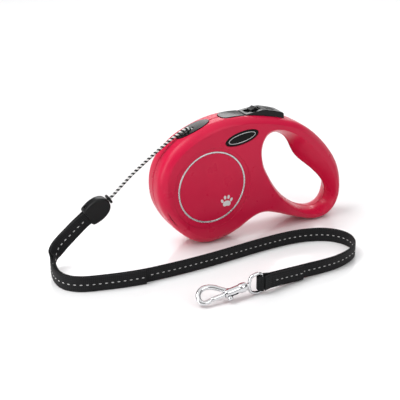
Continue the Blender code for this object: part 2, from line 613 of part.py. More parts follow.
# ---------------------------------------------------------------- strap
Z0 = STRAP_W / 2 + 0.1
STRAP_MID = [
    (-135.0, 0.0, 35.9), (-138.0, 0.1, 33.7), (-142.6, 0.9, 29.4), (-147.4, 2.0, 24.6), (-150.8, 3.2, 20.8),
    (-153.6, 4.3, 17.2), (-156.0, 4.6, 14.0), (-157.9, 4.1, 11.2), (-159.4, 2.4, 8.7), (-160.8, -0.8, 6.8),
    (-162.2, -5.6, Z0 + 0.2), (-163.8, -12.5, Z0), (-164.6, -20.0, Z0), (-163.4, -27.5, Z0),
    (-159.0, -34.0, Z0), (-151.5, -38.6, Z0), (-141.0, -41.6, Z0),
    (-127.0, -44.8, Z0), (-111.0, -47.1, Z0), (-93.0, -47.6, Z0), (-74.0, -46.8, Z0), (-55.0, -45.2, Z0),
    (-36.0, -43.2, Z0), (-17.0, -41.2, Z0), (0.0, -40.0, Z0), (15.0, -39.9, Z0), (29.0, -42.0, Z0),
    (41.2, -47.0, Z0), (49.2, -55.0, Z0), (52.2, -64.6, Z0), (50.0, -74.4, Z0), (43.4, -82.4, Z0),
    (33.0, -88.0, Z0), (20.0, -91.4, Z0), (5.0, -92.9, Z0), (-10.0, -93.9, Z0 + 0.4), (-24.0, -95.4, Z0 + 1.3),
    (-37.0, -97.4, Z0 + 2.3),
]
BAR = (-44.0, -97.9, 8.4)   # centre of the eye's upright bar
mid = [Vector(p) for p in open_curve(STRAP_MID, 70)]


def frames(path):
    """Side and top directions of an upright ribbon along a path."""
    out = []
    for i in range(len(path)):
        ahead = path[min(i + 1, len(path) - 1)] - path[max(i - 1, 0)]
        ahead.normalize()
        side = ahead.cross(Vector((0, 0, 1))).normalized()
        out.append((side, side.cross(ahead)))
    return out


def ribbon(name, stations, mat):
    """Ribbon of the strap's section through (point, side, top) stations."""
    rings = []
    for point, side, top in stations:
        across = side * (STRAP_T / 2)
        high = top * (STRAP_W / 2)
        rings.append([point - across - high, point + across - high, point + across + high, point - across + high])
    return loft(name, rings, mat, False)


LAYER = 1.1
FOLD_A = 23   # stations of the doubled length at the connector
FOLD_B = 64   # first station of the doubled length at the snap
mid_frames = frames(mid)


def lay(i):
    """Sideways offset of the main layer: clear of the folded layers near both ends."""
    start = min(1.0, max(0.0, (FOLD_A + 9 - i) / 8.0))
    end = min(1.0, max(0.0, (i - FOLD_B + 5) / 4.0))
    return (end - start) * LAYER


def turn(centre, toward, across, radius, top):
    """Half turn of the strap round a pin: from +across, through toward, to -across."""
    out = []
    for ang in (90, 60, 30, 0, -30, -60, -90):
        c = math.cos(math.radians(ang))
        s = math.sin(math.radians(ang))
        point = Vector(centre) + toward * (radius * c) + across * (radius * s)
        out.append((point, toward * c + across * s, top))
    return out


UP = Vector((0, 0, 1))
stations = turn(conn(PIN_U, 0, 0), CU, Vector((0, 1, 0)), 2.3, CW)
for i, (point, (side, top)) in enumerate(zip(mid, mid_frames)):
    stations.append((point + side * lay(i), side * (-1.0 if i < 0 else 1.0), top))
fixed = []
for k, (point, side, top) in enumerate(stations):
    if k < 7:
        side = -side
    fixed.append((point, side, top))
bar_turn = turn(BAR, Vector((-1, 0, 0)), Vector((0, 1, 0)), 2.9, UP)
main_path = fixed + bar_turn
ribbon("strap", main_path, material("strap_black", (0.025, 0.025, 0.027), 0.85))
fold = [(conn(PIN_U - 0.9, 2.1, 0), Vector((0, 1, 0)), CW)]
for i in range(0, FOLD_A):
    fold.append((mid[i] + mid_frames[i][0] * LAYER, mid_frames[i][0], mid_frames[i][1]))
ribbon("strap_fold_cord_end", fold, material("fold_black_a", (0.025, 0.025, 0.027), 0.85))
fold = []
for i in range(FOLD_B, 70):
    fold.append((mid[i] - mid_frames[i][0] * LAYER, mid_frames[i][0], mid_frames[i][1]))
fold.append((Vector(BAR) + Vector((0.9, -2.9, 0)), Vector((0, 1, 0)), UP))
ribbon("strap_fold_snap_end", fold, material("fold_black_b", (0.025, 0.025, 0.027), 0.85))

# ---------------------------------------------------------------- swivel eye and bolt snap
EYE = Vector((-54.8, -97.9, 8.5))        # swivel head, on the snap's axis
drop = math.radians(HOOK_DROP)
HU = Vector((-math.cos(drop), 0, -math.sin(drop)))
roll = math.radians(HOOK_ROLL)
flat_up = Vector((-math.sin(drop), 0, math.cos(drop)))
HV = Vector((0, 1, 0)) * math.cos(roll) + flat_up * math.sin(roll)
HW = HU.cross(HV)


def hook(u, v, w=0.0):
    return EYE + HU * u + HV * v + HW * w


chrome = material("snap_chrome", (0.75, 0.75, 0.76), 0.12, 1.0)
round12 = [(math.cos(2 * math.pi * s / 12), math.sin(2 * math.pi * s / 12)) for s in range(12)]
# eye: upright ring round the strap, open in the middle
EYE_N = 32
eye_path = closed_curve([(10.8, -5.0), (10.9, 0.0), (10.8, 5.0), (9.4, 6.85), (5.6, 7.0), (2.2, 5.5), (0.9, 2.4),
                         (0.9, -2.4), (2.2, -5.5), (5.6, -7.0), (9.4, -6.85)], EYE_N)
bm = bmesh.new()
rows = []
for i, (a, b) in enumerate(eye_path):
    ahead = eye_path[(i + 1) % EYE_N] - eye_path[i - 1]
    ahead /= np.linalg.norm(ahead)
    out = (ahead[1], -ahead[0])
    row = []
    for c, s in round12:
        row.append(bm.verts.new((EYE.x + a + 1.15 * c * out[0], EYE.y + 1.35 * s, EYE.z + b + 1.15 * c * out[1])))
    rows.append(row)
for i in range(EYE_N):
    for k in range(12):
        bm.faces.new((rows[i][k], rows[i][(k + 1) % 12], rows[(i + 1) % EYE_N][(k + 1) % 12], rows[(i + 1) % EYE_N][k]))
eye = finish("swivel_eye", bm, material("eye_chrome", (0.75, 0.75, 0.76), 0.12, 1.0))
stem = loft("add_eye_stem", rod_rings(hook(-1.6, 0), hook(6.6, 0),
                                      [(0, 1.5), (3.6, 1.5), (3.9, 1.4), (5.6, 1.4), (5.8, 2.0), (7.6, 2.0),
                                       (8.2, 1.4)], 16), None)
boolean(eye, stem, "UNION")

# snap body: barrel with a slot, and the bent arm that closes the loop
body = loft("snap_body", rod_rings(hook(1.4, 0), hook(18.6, 0),
                                   [(0, 2.5), (0.5, 3.0), (5.4, 3.4), (6.6, 3.0), (16.4, 3.0), (17.2, 2.7)], 24),
            chrome)
arm_pts = [(12.5, 1.2), (16.0, 2.4), (19.2, 4.8), (22.8, 7.9), (27.2, 9.9), (31.8, 9.8), (35.4, 7.2),
           (36.9, 3.4), (36.0, 0.5), (33.2, -0.7), (29.0, 0.0)]
arm3 = open_curve([(u, v, 0.0) for u, v in arm_pts], 30)
arm_r = [1.55 + 0.35 * math.sin(math.pi * i / 29.0) for i in range(30)]
arm = sweep("add_arm", [hook(u, v) for u, v, _ in arm3], [(c * 1.0, s * 0.9) for c, s in round12], None,
            up=tuple(HW), scale=arm_r)
boolean(body, arm, "UNION")
boolean(body, rod("cut_snap_bore", hook(8.6, 0), hook(29.8, 0), 1.95, None, 16))
boolean(body, loft("cut_swivel_seat", rod_rings(hook(-1, 0), hook(9.2, 0),
                                                [(0, 1.7), (5.0, 1.7), (5.1, 2.3), (10.2, 2.3)], 16), None))


def hook_box(name, u0, u1, v0, v1, w0, w1):
    rings = []
    for u in (u0, u1):
        rings.append([hook(u, v0, w0), hook(u, v1, w0), hook(u, v1, w1), hook(u, v0, w1)])
    return loft(name, rings, None)


boolean(body, hook_box("cut_thumb_slot", 9.4, 17.4, -6, 0, -1.15, 1.15))
bolt_profile = [(0, 1.35), (0.3, 1.6), (12.8, 1.6), (13.4, 1.2)]
bolt = loft("snap_bolt", rod_rings(hook(15.6, 0), hook(29.0, 0), bolt_profile, 16),
            material("bolt_chrome", (0.75, 0.75, 0.76), 0.12, 1.0))
boolean(bolt, loft("add_thumb", rod_rings(hook(16.2, 0), hook(16.2, -5.6),
                                          [(0, 0.85), (3.2, 0.85), (3.4, 1.9), (4.8, 1.9), (5.6, 1.3)], 16), None),
        "UNION")
coil = []
axis_frame = frame_from(HU)
for i in range(61):
    ang = 2 * math.pi * 6 * i / 60
    off = axis_frame @ Vector((1.35 * math.cos(ang), 1.35 * math.sin(ang), 0))
    coil.append(hook(9.9 + 5.0 * i / 60, 0) + off)
wire("bolt_spring", coil, 0.25, material("bolt_spring_steel", STEEL, 0.3, 1.0), 0, hook(9.9, 0))
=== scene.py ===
"""Retractable cord leash: the surfaces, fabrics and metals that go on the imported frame."""
import math

import bmesh
import bpy
import numpy as np
from mathutils import Matrix, Vector


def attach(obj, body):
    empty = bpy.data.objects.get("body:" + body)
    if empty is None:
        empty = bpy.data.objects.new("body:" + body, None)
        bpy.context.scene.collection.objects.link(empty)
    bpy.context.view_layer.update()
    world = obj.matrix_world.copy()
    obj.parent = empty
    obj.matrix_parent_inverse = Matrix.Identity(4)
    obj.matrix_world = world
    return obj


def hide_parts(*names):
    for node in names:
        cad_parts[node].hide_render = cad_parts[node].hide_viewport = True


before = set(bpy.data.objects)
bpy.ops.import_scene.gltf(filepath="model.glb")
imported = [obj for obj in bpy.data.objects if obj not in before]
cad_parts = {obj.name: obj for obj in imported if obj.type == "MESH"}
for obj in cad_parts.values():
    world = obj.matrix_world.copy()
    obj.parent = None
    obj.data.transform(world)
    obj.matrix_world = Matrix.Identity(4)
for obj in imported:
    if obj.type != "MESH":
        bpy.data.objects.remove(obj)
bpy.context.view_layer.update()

# ---------------------------------------------------------------- driving dimensions (millimetres, degrees)
MM = 0.001
HALF_T = 13.5
SPLIT = 0.15
RIM = 6.0
REEL = (-37.5, 47.0)
CHAMBER_R = 38.5
CHAMBER_Y = 11.3
CORD_D = 2.3
STRAP_W = 11.0
STRAP_T = 1.6
PIVOT = (-3.0, 91.5)
CONN = (-124.5, 0.0, 42.5)
CONN_TILT = 32.0
HOOK_DROP = 8.5
HOOK_ROLL = 32.0
FACE_Y = -13.15        # floor of the shallow dish on the visible side

# ---------------------------------------------------------------- camera, floor and light
TARGET = Vector((-0.04085, 0.0, 0.03264))
CAMERA_AT = Vector((-0.4104, -0.7034, 0.3720))
camera_data = bpy.data.cameras.new("camera")
camera_data.sensor_width = 36.0
camera_data.lens = 102.87
camera_data.clip_start = 0.01
camera = bpy.data.objects.new("camera", camera_data)
bpy.context.scene.collection.objects.link(camera)
camera.location = CAMERA_AT
camera.rotation_euler = (TARGET - CAMERA_AT).to_track_quat("-Z", "Y").to_euler()
bpy.context.scene.camera = camera
bpy.context.scene.view_settings.view_transform = "Standard"


def area_light(name, place, aim, size, power, colour=(1.0, 1.0, 1.0)):
    data = bpy.data.lights.new(name, "AREA")
    data.shape = "RECTANGLE"
    data.size, data.size_y = size
    data.energy = power
    data.color = colour
    lamp = bpy.data.objects.new(name, data)
    bpy.context.scene.collection.objects.link(lamp)
    lamp.location = place
    lamp.rotation_euler = (Vector(aim) - Vector(place)).to_track_quat("-Z", "Y").to_euler()
    return lamp


sun_data = bpy.data.lights.new("soft_sun", "SUN")
sun_data.energy = 1.35
sun_data.angle = math.radians(32)
sun = bpy.data.objects.new("soft_sun", sun_data)
bpy.context.scene.collection.objects.link(sun)
sun.rotation_euler = (math.radians(-12), math.radians(-30), 0.0)
area_light("strip_left", (-0.75, -0.12, 0.34), (-0.05, 0.0, 0.05), (0.22, 0.6), 2.2)
area_light("top_box", (0.34, 0.62, 0.46), (0.0, 0.0, 0.09), (0.8, 0.24), 2.6)
area_light("front_fill", (0.25, -0.9, 0.75), (0.0, 0.0, 0.04), (0.5, 0.5), 1.8)
world = bpy.data.worlds.new("studio")
world.use_nodes = True
sky = world.node_tree
sky_coord = sky.nodes.new("ShaderNodeTexCoord")
sky_split = sky.nodes.new("ShaderNodeSeparateXYZ")
sky.links.new(sky_coord.outputs["Generated"], sky_split.inputs["Vector"])
sky_ramp = sky.nodes.new("ShaderNodeValToRGB")
sky.links.new(sky_split.outputs["Z"], sky_ramp.inputs["Fac"])
sky_stops = ((0.0, 1.0), (0.10, 1.0), (0.20, 0.62), (0.34, 0.12), (0.62, 0.16), (0.80, 0.9), (1.0, 1.0))
for at, grey in sky_stops[1:-1]:
    sky_ramp.color_ramp.elements.new(at)
for stop, (at, grey) in zip(sky_ramp.color_ramp.elements, sky_stops):
    stop.position = at
    stop.color = (grey, grey, grey, 1.0)
sky.links.new(sky_ramp.outputs["Color"], sky.nodes["Background"].inputs["Color"])
sky.nodes["Background"].inputs["Strength"].default_value = 1.0
bpy.context.scene.world = world


# ---------------------------------------------------------------- materials
def start_material(name, colour, rough, metal=0.0):
    mat = bpy.data.materials.new(name)
    mat.use_nodes = True
    tree = mat.node_tree
    bsdf = tree.nodes["Principled BSDF"]
    bsdf.inputs["Base Color"].default_value = (*colour, 1.0)
    bsdf.inputs["Roughness"].default_value = rough
    bsdf.inputs["Metallic"].default_value = metal
    mat.diffuse_color = (*colour, 1.0)
    return mat, tree, bsdf


def noise(tree, scale, detail=2.0, stretch=(1.0, 1.0, 1.0), vector=None):
    """Noise in object space; stretch squeezes it along an axis."""
    mapping = tree.nodes.new("ShaderNodeMapping")
    mapping.inputs["Scale"].default_value = stretch
    if vector is None:
        vector = tree.nodes.new("ShaderNodeTexCoord").outputs["Object"]
    tree.links.new(vector, mapping.inputs["Vector"])
    tex = tree.nodes.new("ShaderNodeTexNoise")
    tex.inputs["Scale"].default_value = scale
    tex.inputs["Detail"].default_value = detail
    tree.links.new(mapping.outputs["Vector"], tex.inputs["Vector"])
    return tex.outputs["Fac"]


def span(tree, value, low, high, from_low=0.3, from_high=0.7):
    node = tree.nodes.new("ShaderNodeMapRange")
    node.inputs["From Min"].default_value = from_low
    node.inputs["From Max"].default_value = from_high
    node.inputs["To Min"].default_value = low
    node.inputs["To Max"].default_value = high
    tree.links.new(value, node.inputs["Value"])
    return node.outputs["Result"]


def math_node(tree, operation, a, b=None, c=None):
    node = tree.nodes.new("ShaderNodeMath")
    node.operation = operation
    for socket, value in zip(node.inputs, (a, b, c)):
        if value is None:
            continue
        if isinstance(value, (int, float)):
            socket.default_value = value
        else:
            tree.links.new(value, socket)
    return node.outputs[0]


def blend_colours(tree, factor, low, high):
    """Mix of two colours; either may be a socket."""
    node = tree.nodes.new("ShaderNodeMix")
    node.data_type = "RGBA"
    tree.links.new(factor, node.inputs["Factor"])
    for index, value in ((6, low), (7, high)):
        if isinstance(value, tuple):
            node.inputs[index].default_value = (*value, 1.0)
        else:
            tree.links.new(value, node.inputs[index])
    return node.outputs[2]


def feed(bsdf, name, socket):
    bsdf.id_data.links.new(socket, bsdf.inputs[name])


def shade(colour, amount):
    return tuple(min(1.0, c * amount) for c in colour)


def bump(tree, bsdf, height, distance, strength=1.0, base=None):
    node = tree.nodes.new("ShaderNodeBump")
    node.inputs["Strength"].default_value = strength
    node.inputs["Distance"].default_value = distance * MM
    tree.links.new(height, node.inputs["Height"])
    if base is not None:
        tree.links.new(base, node.inputs["Normal"])
    if bsdf is not None:
        feed(bsdf, "Normal", node.outputs["Normal"])
    return node.outputs["Normal"]


EDGE_WEAR_HIGHLIGHT_GREY = 0.55     # what the edges pale toward: partly rub wear, partly painted highlight


def plastic(name, colour, rough, grain, vary, edge=0.35, wear_highlight=0.12, gloss=0.5, rough_vary=0.05):
    """Moulded plastic: slow colour drift, fine moulded grain, softened edges paled partly as rub wear and
    partly as painted highlight.
    """
    mat, tree, bsdf = start_material(name, colour, rough)
    drift = span(tree, noise(tree, 28.0, 3.0), 0.0, 1.0)
    base = blend_colours(tree, drift, shade(colour, 1 - vary), shade(colour, 1 + vary))
    soft = tree.nodes.new("ShaderNodeBevel")
    soft.samples = 4
    soft.inputs["Radius"].default_value = edge * MM
    geometry = tree.nodes.new("ShaderNodeNewGeometry")
    dot = tree.nodes.new("ShaderNodeVectorMath")
    dot.operation = "DOT_PRODUCT"
    tree.links.new(soft.outputs["Normal"], dot.inputs[0])
    tree.links.new(geometry.outputs["Normal"], dot.inputs[1])
    # edges paled in the base colour: partly rub wear, partly a painted highlight on the edge fillets
    edge_wear_highlight = span(tree, dot.outputs["Value"], wear_highlight, 0.0, 0.75, 0.99)
    patchy = math_node(tree, "MULTIPLY", edge_wear_highlight, span(tree, noise(tree, 160.0, 3.0), 0.3, 1.0))
    pale = tuple(c + (EDGE_WEAR_HIGHLIGHT_GREY - c) * 0.5 for c in colour)
    feed(bsdf, "Base Color", blend_colours(tree, patchy, base, pale))
    rough_low = max(0.02, rough - rough_vary)
    feed(bsdf, "Roughness", span(tree, noise(tree, 90.0, 4.0), rough_low, rough + rough_vary))
    bump(tree, bsdf, noise(tree, grain[0], 2.0), grain[1], 0.6, soft.outputs["Normal"])
    bsdf.inputs["Specular IOR Level"].default_value = gloss
    return mat


def metal(name, colour, rough, scale, depth, brush=(1.0, 1.0, 1.0), tint=0.1):
    """Metal with fine brush lines or pitting, small stains and uneven polish."""
    mat, tree, bsdf = start_material(name, colour, rough, 1.0)
    stain = span(tree, noise(tree, 120.0, 4.0), 0.0, 1.0)
    mixed = blend_colours(tree, stain, shade(colour, 1 - tint), shade(colour, 1.04))
    feed(bsdf, "Base Color", mixed)
    lines = noise(tree, scale, 3.0, brush)
    feed(bsdf, "Roughness", span(tree, lines, max(0.02, rough * 0.6), rough * 1.5))
    bump(tree, bsdf, lines, depth, 0.5)
    return mat


def uv_axes(tree):
    """The strip coordinates of a fabric piece: along it and across it, in millimetres."""
    coords = tree.nodes.new("ShaderNodeUVMap")
    coords.uv_map = "strip"
    split = tree.nodes.new("ShaderNodeSeparateXYZ")
    tree.links.new(coords.outputs["UV"], split.inputs["Vector"])
    return split.outputs["X"], split.outputs["Y"], coords.outputs["UV"]


def wave(tree, value, period, phase=0.0):
    """Sine of value over period, 0 to 1."""
    turn_share = math_node(tree, "MULTIPLY_ADD", value, 2 * math.pi / period, phase)
    return math_node(tree, "MULTIPLY_ADD", math_node(tree, "SINE", turn_share), 0.5, 0.5)


WEFT = 0.7             # spacing of the webbing's ribs
WARP = 0.72            # spacing of its lengthwise yarns


def webbing(name, dark, light):
    """Plain woven tape: weft ribs over warp ends, with loose fibres and a slightly shiny yarn; raised yarn is
    painted lighter as a highlight.
    """
    mat, tree, bsdf = start_material(name, dark, 0.8)
    along, across, both = uv_axes(tree)
    rib = wave(tree, along, WEFT)
    end = wave(tree, across, WARP)
    crossed = math_node(tree, "MULTIPLY", wave(tree, along, 2 * WEFT), wave(tree, across, 2 * WARP))
    weave = math_node(tree, "MULTIPLY_ADD", end, 0.25, math_node(tree, "MULTIPLY", rib, 0.55))
    weave = math_node(tree, "MULTIPLY_ADD", crossed, 0.45, weave)
    fibre = noise(tree, 2.6, 3.0, (0.35, 3.0, 1.0), both)
    height = math_node(tree, "MULTIPLY_ADD", fibre, 0.45, weave)
    # raised yarn painted lighter in the base colour: a painted highlight on the weave crests
    crest_highlight = span(tree, height, 0.0, 1.0, 0.35, 1.15)
    blotch = span(tree, noise(tree, 60.0, 3.0), 0.75, 1.1)
    mixed = math_node(tree, "MULTIPLY", crest_highlight, blotch)
    feed(bsdf, "Base Color", blend_colours(tree, mixed, dark, light))
    feed(bsdf, "Roughness", span(tree, height, 0.92, 0.55, 0.3, 1.2))
    bump(tree, bsdf, height, 0.16, 0.85)
    bsdf.inputs["Sheen Weight"].default_value = 0.04
    bsdf.inputs["Sheen Roughness"].default_value = 0.4
    bsdf.inputs["Specular IOR Level"].default_value = 0.22
    return mat


def thread(name, dark, light, period=0.7, slant=1.6):
    """Sewing thread: two plies laid at a slant."""
    mat, tree, bsdf = start_material(name, light, 0.6)
    along, across = uv_axes(tree)[:2]
    skew = math_node(tree, "MULTIPLY_ADD", across, slant, along)
    ply = wave(tree, skew, period)
    feed(bsdf, "Base Color", blend_colours(tree, ply, dark, light))
    feed(bsdf, "Roughness", span(tree, noise(tree, 900.0), 0.45, 0.75))
    bump(tree, bsdf, ply, 0.05, 0.7)
    return mat


def braid(name, dark, light):
    """Twisted cord: dark and light yarns in turn, each with its own fibres."""
    mat, tree, bsdf = start_material(name, dark, 0.75)
    across, both = uv_axes(tree)[1:]
    strand = math_node(tree, "FRACT", across)
    is_light = math_node(tree, "GREATER_THAN", strand, 0.5)
    hair = noise(tree, 5.0, 3.0, (1.0, 6.0, 1.0), both)
    feed(bsdf, "Base Color", blend_colours(tree, is_light, dark, light))
    feed(bsdf, "Roughness", span(tree, hair, 0.55, 0.9))
    bump(tree, bsdf, hair, 0.08, 0.8)
    bsdf.inputs["Sheen Weight"].default_value = 0.15
    bsdf.inputs["Sheen Roughness"].default_value = 0.4
    return mat


def floor_material():
    mat, tree, bsdf = start_material("floor_white", (0.9, 0.9, 0.905), 0.16)
    feed(bsdf, "Roughness", span(tree, noise(tree, 3.0, 2.0), 0.13, 0.2))
    bsdf.inputs["Specular IOR Level"].default_value = 0.2
    return mat


floor_mesh = bpy.data.meshes.new("floor")
floor_mesh.from_pydata([(-6, -6, 0), (6, -6, 0), (6, 6, 0), (-6, 6, 0)], [], [(0, 1, 2, 3)])
floor = bpy.data.objects.new("floor", floor_mesh)
bpy.context.scene.collection.objects.link(floor)
floor.location = (0.0, 0.0, -0.0001)
floor_mesh.materials.append(floor_material())


# ---------------------------------------------------------------- mesh helpers
def finish(name, bm, mat, smooth=35.0):
    """Turn a bmesh in millimetres into a named object; edges sharper than smooth degrees stay crisp."""
    bmesh.ops.recalc_face_normals(bm, faces=bm.faces)
    for vert in bm.verts:
        vert.co = vert.co * MM
    mesh = bpy.data.meshes.new(name)
    bm.to_mesh(mesh)
    bm.free()
    obj = bpy.data.objects.new(name, mesh)
    bpy.context.scene.collection.objects.link(obj)
    if mat is not None:
        mesh.materials.append(mat)
    if smooth:
        crisp(mesh, smooth)
    return obj


def crisp(mesh, degrees):
    """Smooth shading, with the edges sharper than that marked sharp."""
    bm = bmesh.new()
    bm.from_mesh(mesh)
    limit = math.radians(degrees)
    for face in bm.faces:
        face.smooth = True
    for edge in bm.edges:
        edge.smooth = len(edge.link_faces) == 2 and edge.calc_face_angle(0.0) < limit
    bm.to_mesh(mesh)
    bm.free()


def carve(obj, cutters, operation="DIFFERENCE"):
    """Cut or join solids into obj, apply the result, and remove the cutters."""
    for cutter in cutters:
        mod = obj.modifiers.new(cutter.name, "BOOLEAN")
        mod.object = cutter
        mod.operation = operation
        mod.solver = "EXACT"
    settle(obj)
    for cutter in cutters:
        bpy.data.objects.remove(cutter, do_unlink=True)


def settle(obj):
    """Replace obj's mesh by the result of its modifiers."""
    bpy.context.view_layer.update()
    graph = bpy.context.evaluated_depsgraph_get()
    mesh = bpy.data.meshes.new_from_object(obj.evaluated_get(graph), depsgraph=graph)
    obj.modifiers.clear()
    obj.data = mesh


def weigh(obj):
    """Normals that follow the larger faces, so flat areas read flat."""
    mod = obj.modifiers.new("weighted", "WEIGHTED_NORMAL")
    mod.keep_sharp = True
    mod.weight = 80


CURVE_STEPS = 24       # samples between two given points of a curve


def hermite(t, gap, start, slope_out, end, slope_in):
    """Cubic between two points with given slopes; t runs from 0 to 1 over the gap."""
    return ((2 * t**3 - 3 * t**2 + 1) * start + (t**3 - 2 * t**2 + t) * gap * slope_out
            + (3 * t**2 - 2 * t**3) * end + (t**3 - t**2) * gap * slope_in)


def evenly(dense, count, measured, to_end):
    """Points at even steps along a dense line, with its length taken over the first columns."""
    run = np.concatenate([[0.0], np.cumsum(np.linalg.norm(np.diff(dense[:, :measured], axis=0), axis=1))])
    want = np.linspace(0, run[-1], count, endpoint=to_end)
    return np.stack([np.interp(want, run, column) for column in dense.T], 1)


def closed_curve(points, count):
    """Smooth closed curve through points of any dimension, sampled evenly along its length."""
    pts = np.array(points, float)
    n = len(pts)
    chord = np.linalg.norm(np.roll(pts[:, :2], -1, 0) - pts[:, :2], axis=1)
    system = np.zeros((n, n))
    rhs = np.zeros((n, pts.shape[1]))
    for i in range(n):
        before, after = chord[i - 1], chord[i]
        system[i, i - 1] += after
        system[i, i] += 2 * (before + after)
        system[i, (i + 1) % n] += before
        slope_in = (pts[i] - pts[i - 1]) / before
        slope_out = (pts[(i + 1) % n] - pts[i]) / after
        rhs[i] = 3 * (after * slope_in + before * slope_out)
    tangent = np.linalg.solve(system, rhs)
    dense = []
    for i in range(n):
        for k in range(CURVE_STEPS):
            t = k / CURVE_STEPS
            j = (i + 1) % n
            dense.append(hermite(t, chord[i], pts[i], tangent[i], pts[j], tangent[j]))
    return evenly(np.array(dense + [dense[0]]), count, 2, False)


def open_curve(points, count):
    """Smooth open curve through 3-D points, sampled evenly."""
    pts = np.array(points, float)
    ext = np.vstack([2 * pts[0] - pts[1], pts, 2 * pts[-1] - pts[-2]])
    dense = []
    for i in range(1, len(ext) - 2):
        p0, p1, p2, p3 = ext[i - 1:i + 3]
        d1 = np.linalg.norm(p1 - p0) ** 0.5
        d2 = np.linalg.norm(p2 - p1) ** 0.5
        d3 = np.linalg.norm(p3 - p2) ** 0.5
        m1 = (p1 - p0) / d1 - (p2 - p0) / (d1 + d2) + (p2 - p1) / d2
        m2 = (p2 - p1) / d2 - (p3 - p1) / (d2 + d3) + (p3 - p2) / d3
        for k in range(CURVE_STEPS):
            t = k / CURVE_STEPS
            dense.append(hermite(t, d2, p1, m1, p2, m2))
    return evenly(np.array(dense + [pts[-1]]), count, 3, True)


def inset(loop, amount):
    """Move a closed 2-D loop (anticlockwise) inwards by an amount per point."""
    ahead = np.roll(loop, -1, 0) - np.roll(loop, 1, 0)
    normal = np.stack([-ahead[:, 1], ahead[:, 0]], 1)
    normal /= np.linalg.norm(normal, axis=1)[:, None]
    return loop + normal * np.reshape(amount, (-1, 1))


def bridge(bm, lower, upper):
    n = len(lower)
    return [bm.faces.new((lower[i], lower[(i + 1) % n], upper[(i + 1) % n], upper[i])) for i in range(n)]


def ring_verts(bm, coords):
    return [bm.verts.new(c) for c in coords]


def cap(bm, rings):
    """Close both ends of a run of rings."""
    bm.faces.new(rings[0])
    bm.faces.new(rings[-1])


def skin(bm, rings):
    """Walls between neighbouring rings, with both ends closed."""
    for a, b in zip(rings, rings[1:]):
        bridge(bm, a, b)
    cap(bm, rings)


def fill_between(bm, *loops):
    """Flat fill bounded by one outer loop and any inner loops."""
    edges = []
    for loop in loops:
        for i in range(len(loop)):
            edges.append(bm.edges.get((loop[i], loop[(i + 1) % len(loop)])))
    bmesh.ops.triangle_fill(bm, use_beauty=True, use_dissolve=False, edges=edges)


def loft(name, rings, mat, smooth=35.0):
    """Closed body through rings of equal count, ends capped."""
    bm = bmesh.new()
    skin(bm, [ring_verts(bm, ring) for ring in rings])
    return finish(name, bm, mat, smooth)


def torus_like(name, rows, mat, smooth=35.0):
    """Closed body through a closed series of closed rings."""
    bm = bmesh.new()
    made = [ring_verts(bm, ring) for ring in rows]
    for i in range(len(made)):
        bridge(bm, made[i], made[(i + 1) % len(made)])
    return finish(name, bm, mat, smooth)


def frame_from(axis, hint=(0, 0, 1)):
    w = Vector(axis).normalized()
    u = Vector(hint).cross(w)
    if u.length < 1e-6:
        u = Vector((1, 0, 0)).cross(w)
    u.normalize()
    return Matrix((u, w.cross(u), w)).transposed()


def rod_rings(start, end, profile, segments):
    """Rings of a turned solid rod: profile of (distance from start, radius)."""
    basis = frame_from(Vector(end) - Vector(start))
    rings = []
    for dist, rad in profile:
        rings.append([Vector(start) + basis @ Vector((rad * c, rad * s, dist)) for c, s in circle(segments)])
    return rings


def rod(name, start, end, radius, mat=None, segments=48):
    length = (Vector(end) - Vector(start)).length
    return loft(name, rod_rings(start, end, [(0, radius), (length, radius)], segments), mat)


def prism_xz(name, outline, y0, y1, mat=None, smooth=35.0):
    return loft(name, [[(x, y0, z) for x, z in outline], [(x, y1, z) for x, z in outline]], mat, smooth)


def ellipse(cx, cz, a, b, tilt, count):
    c, k = math.cos(math.radians(tilt)), math.sin(math.radians(tilt))
    flat = [(a * along, b * across) for along, across in circle(count)]
    return [(cx + x * c - z * k, cz + x * k + z * c) for x, z in flat]


def circle(count):
    return [(math.cos(2 * math.pi * s / count), math.sin(2 * math.pi * s / count)) for s in range(count)]


def upright_frames(path, up=(0, 0, 1)):
    """Side and top directions along a path, upright against up."""
    out = []
    for i in range(len(path)):
        ahead = path[min(i + 1, len(path) - 1)] - path[max(i - 1, 0)]
        ahead.normalize()
        side = ahead.cross(Vector(up)).normalized()
        out.append((side, side.cross(ahead)))
    return out


def sweep_rings(path, section, up, scale=None):
    """Rings of a section of (side, up) offsets along a path."""
    path = [Vector(p) for p in path]
    scale = [1.0] * len(path) if scale is None else scale
    return [[point + side * (a * k) + top * (b * k) for a, b in section]
            for point, (side, top), k in zip(path, upright_frames(path, up), scale)]


def revolve(name, profile, centre, mat, segments=128, smooth=35.0):
    """Turn a closed (radius, y) profile about the Y axis through centre (x, z)."""
    rows = [[(centre[0] + r * c, y, centre[1] + r * s) for r, y in profile] for c, s in circle(segments)]
    return torus_like(name, rows, mat, smooth)


def stand_for(obj, body, *nodes):
    """obj rides on body and takes the place of the CAD nodes, which it hides."""
    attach(obj, body)
    if nodes:
        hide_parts(*nodes)
    return obj


def place(obj, body, node, degrees=30.0):
    """Crisp edges and even normals, then the node's place on its body."""
    crisp(obj.data, degrees)
    weigh(obj)
    return stand_for(obj, body, node)


def box_on(name, at, u_span, v_span, w_span):
    """Box in a part's own axes: at(u, v, w) gives a place in millimetres."""
    (v0, v1), (w0, w1) = v_span, w_span
    return loft(name, [[at(u, v0, w0), at(u, v1, w0), at(u, v1, w1), at(u, v0, w1)] for u in u_span], None)


def repaint(node, mat):
    """Give a CAD node a finished material."""
    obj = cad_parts[node]
    obj.data.materials.clear()
    obj.data.materials.append(mat)


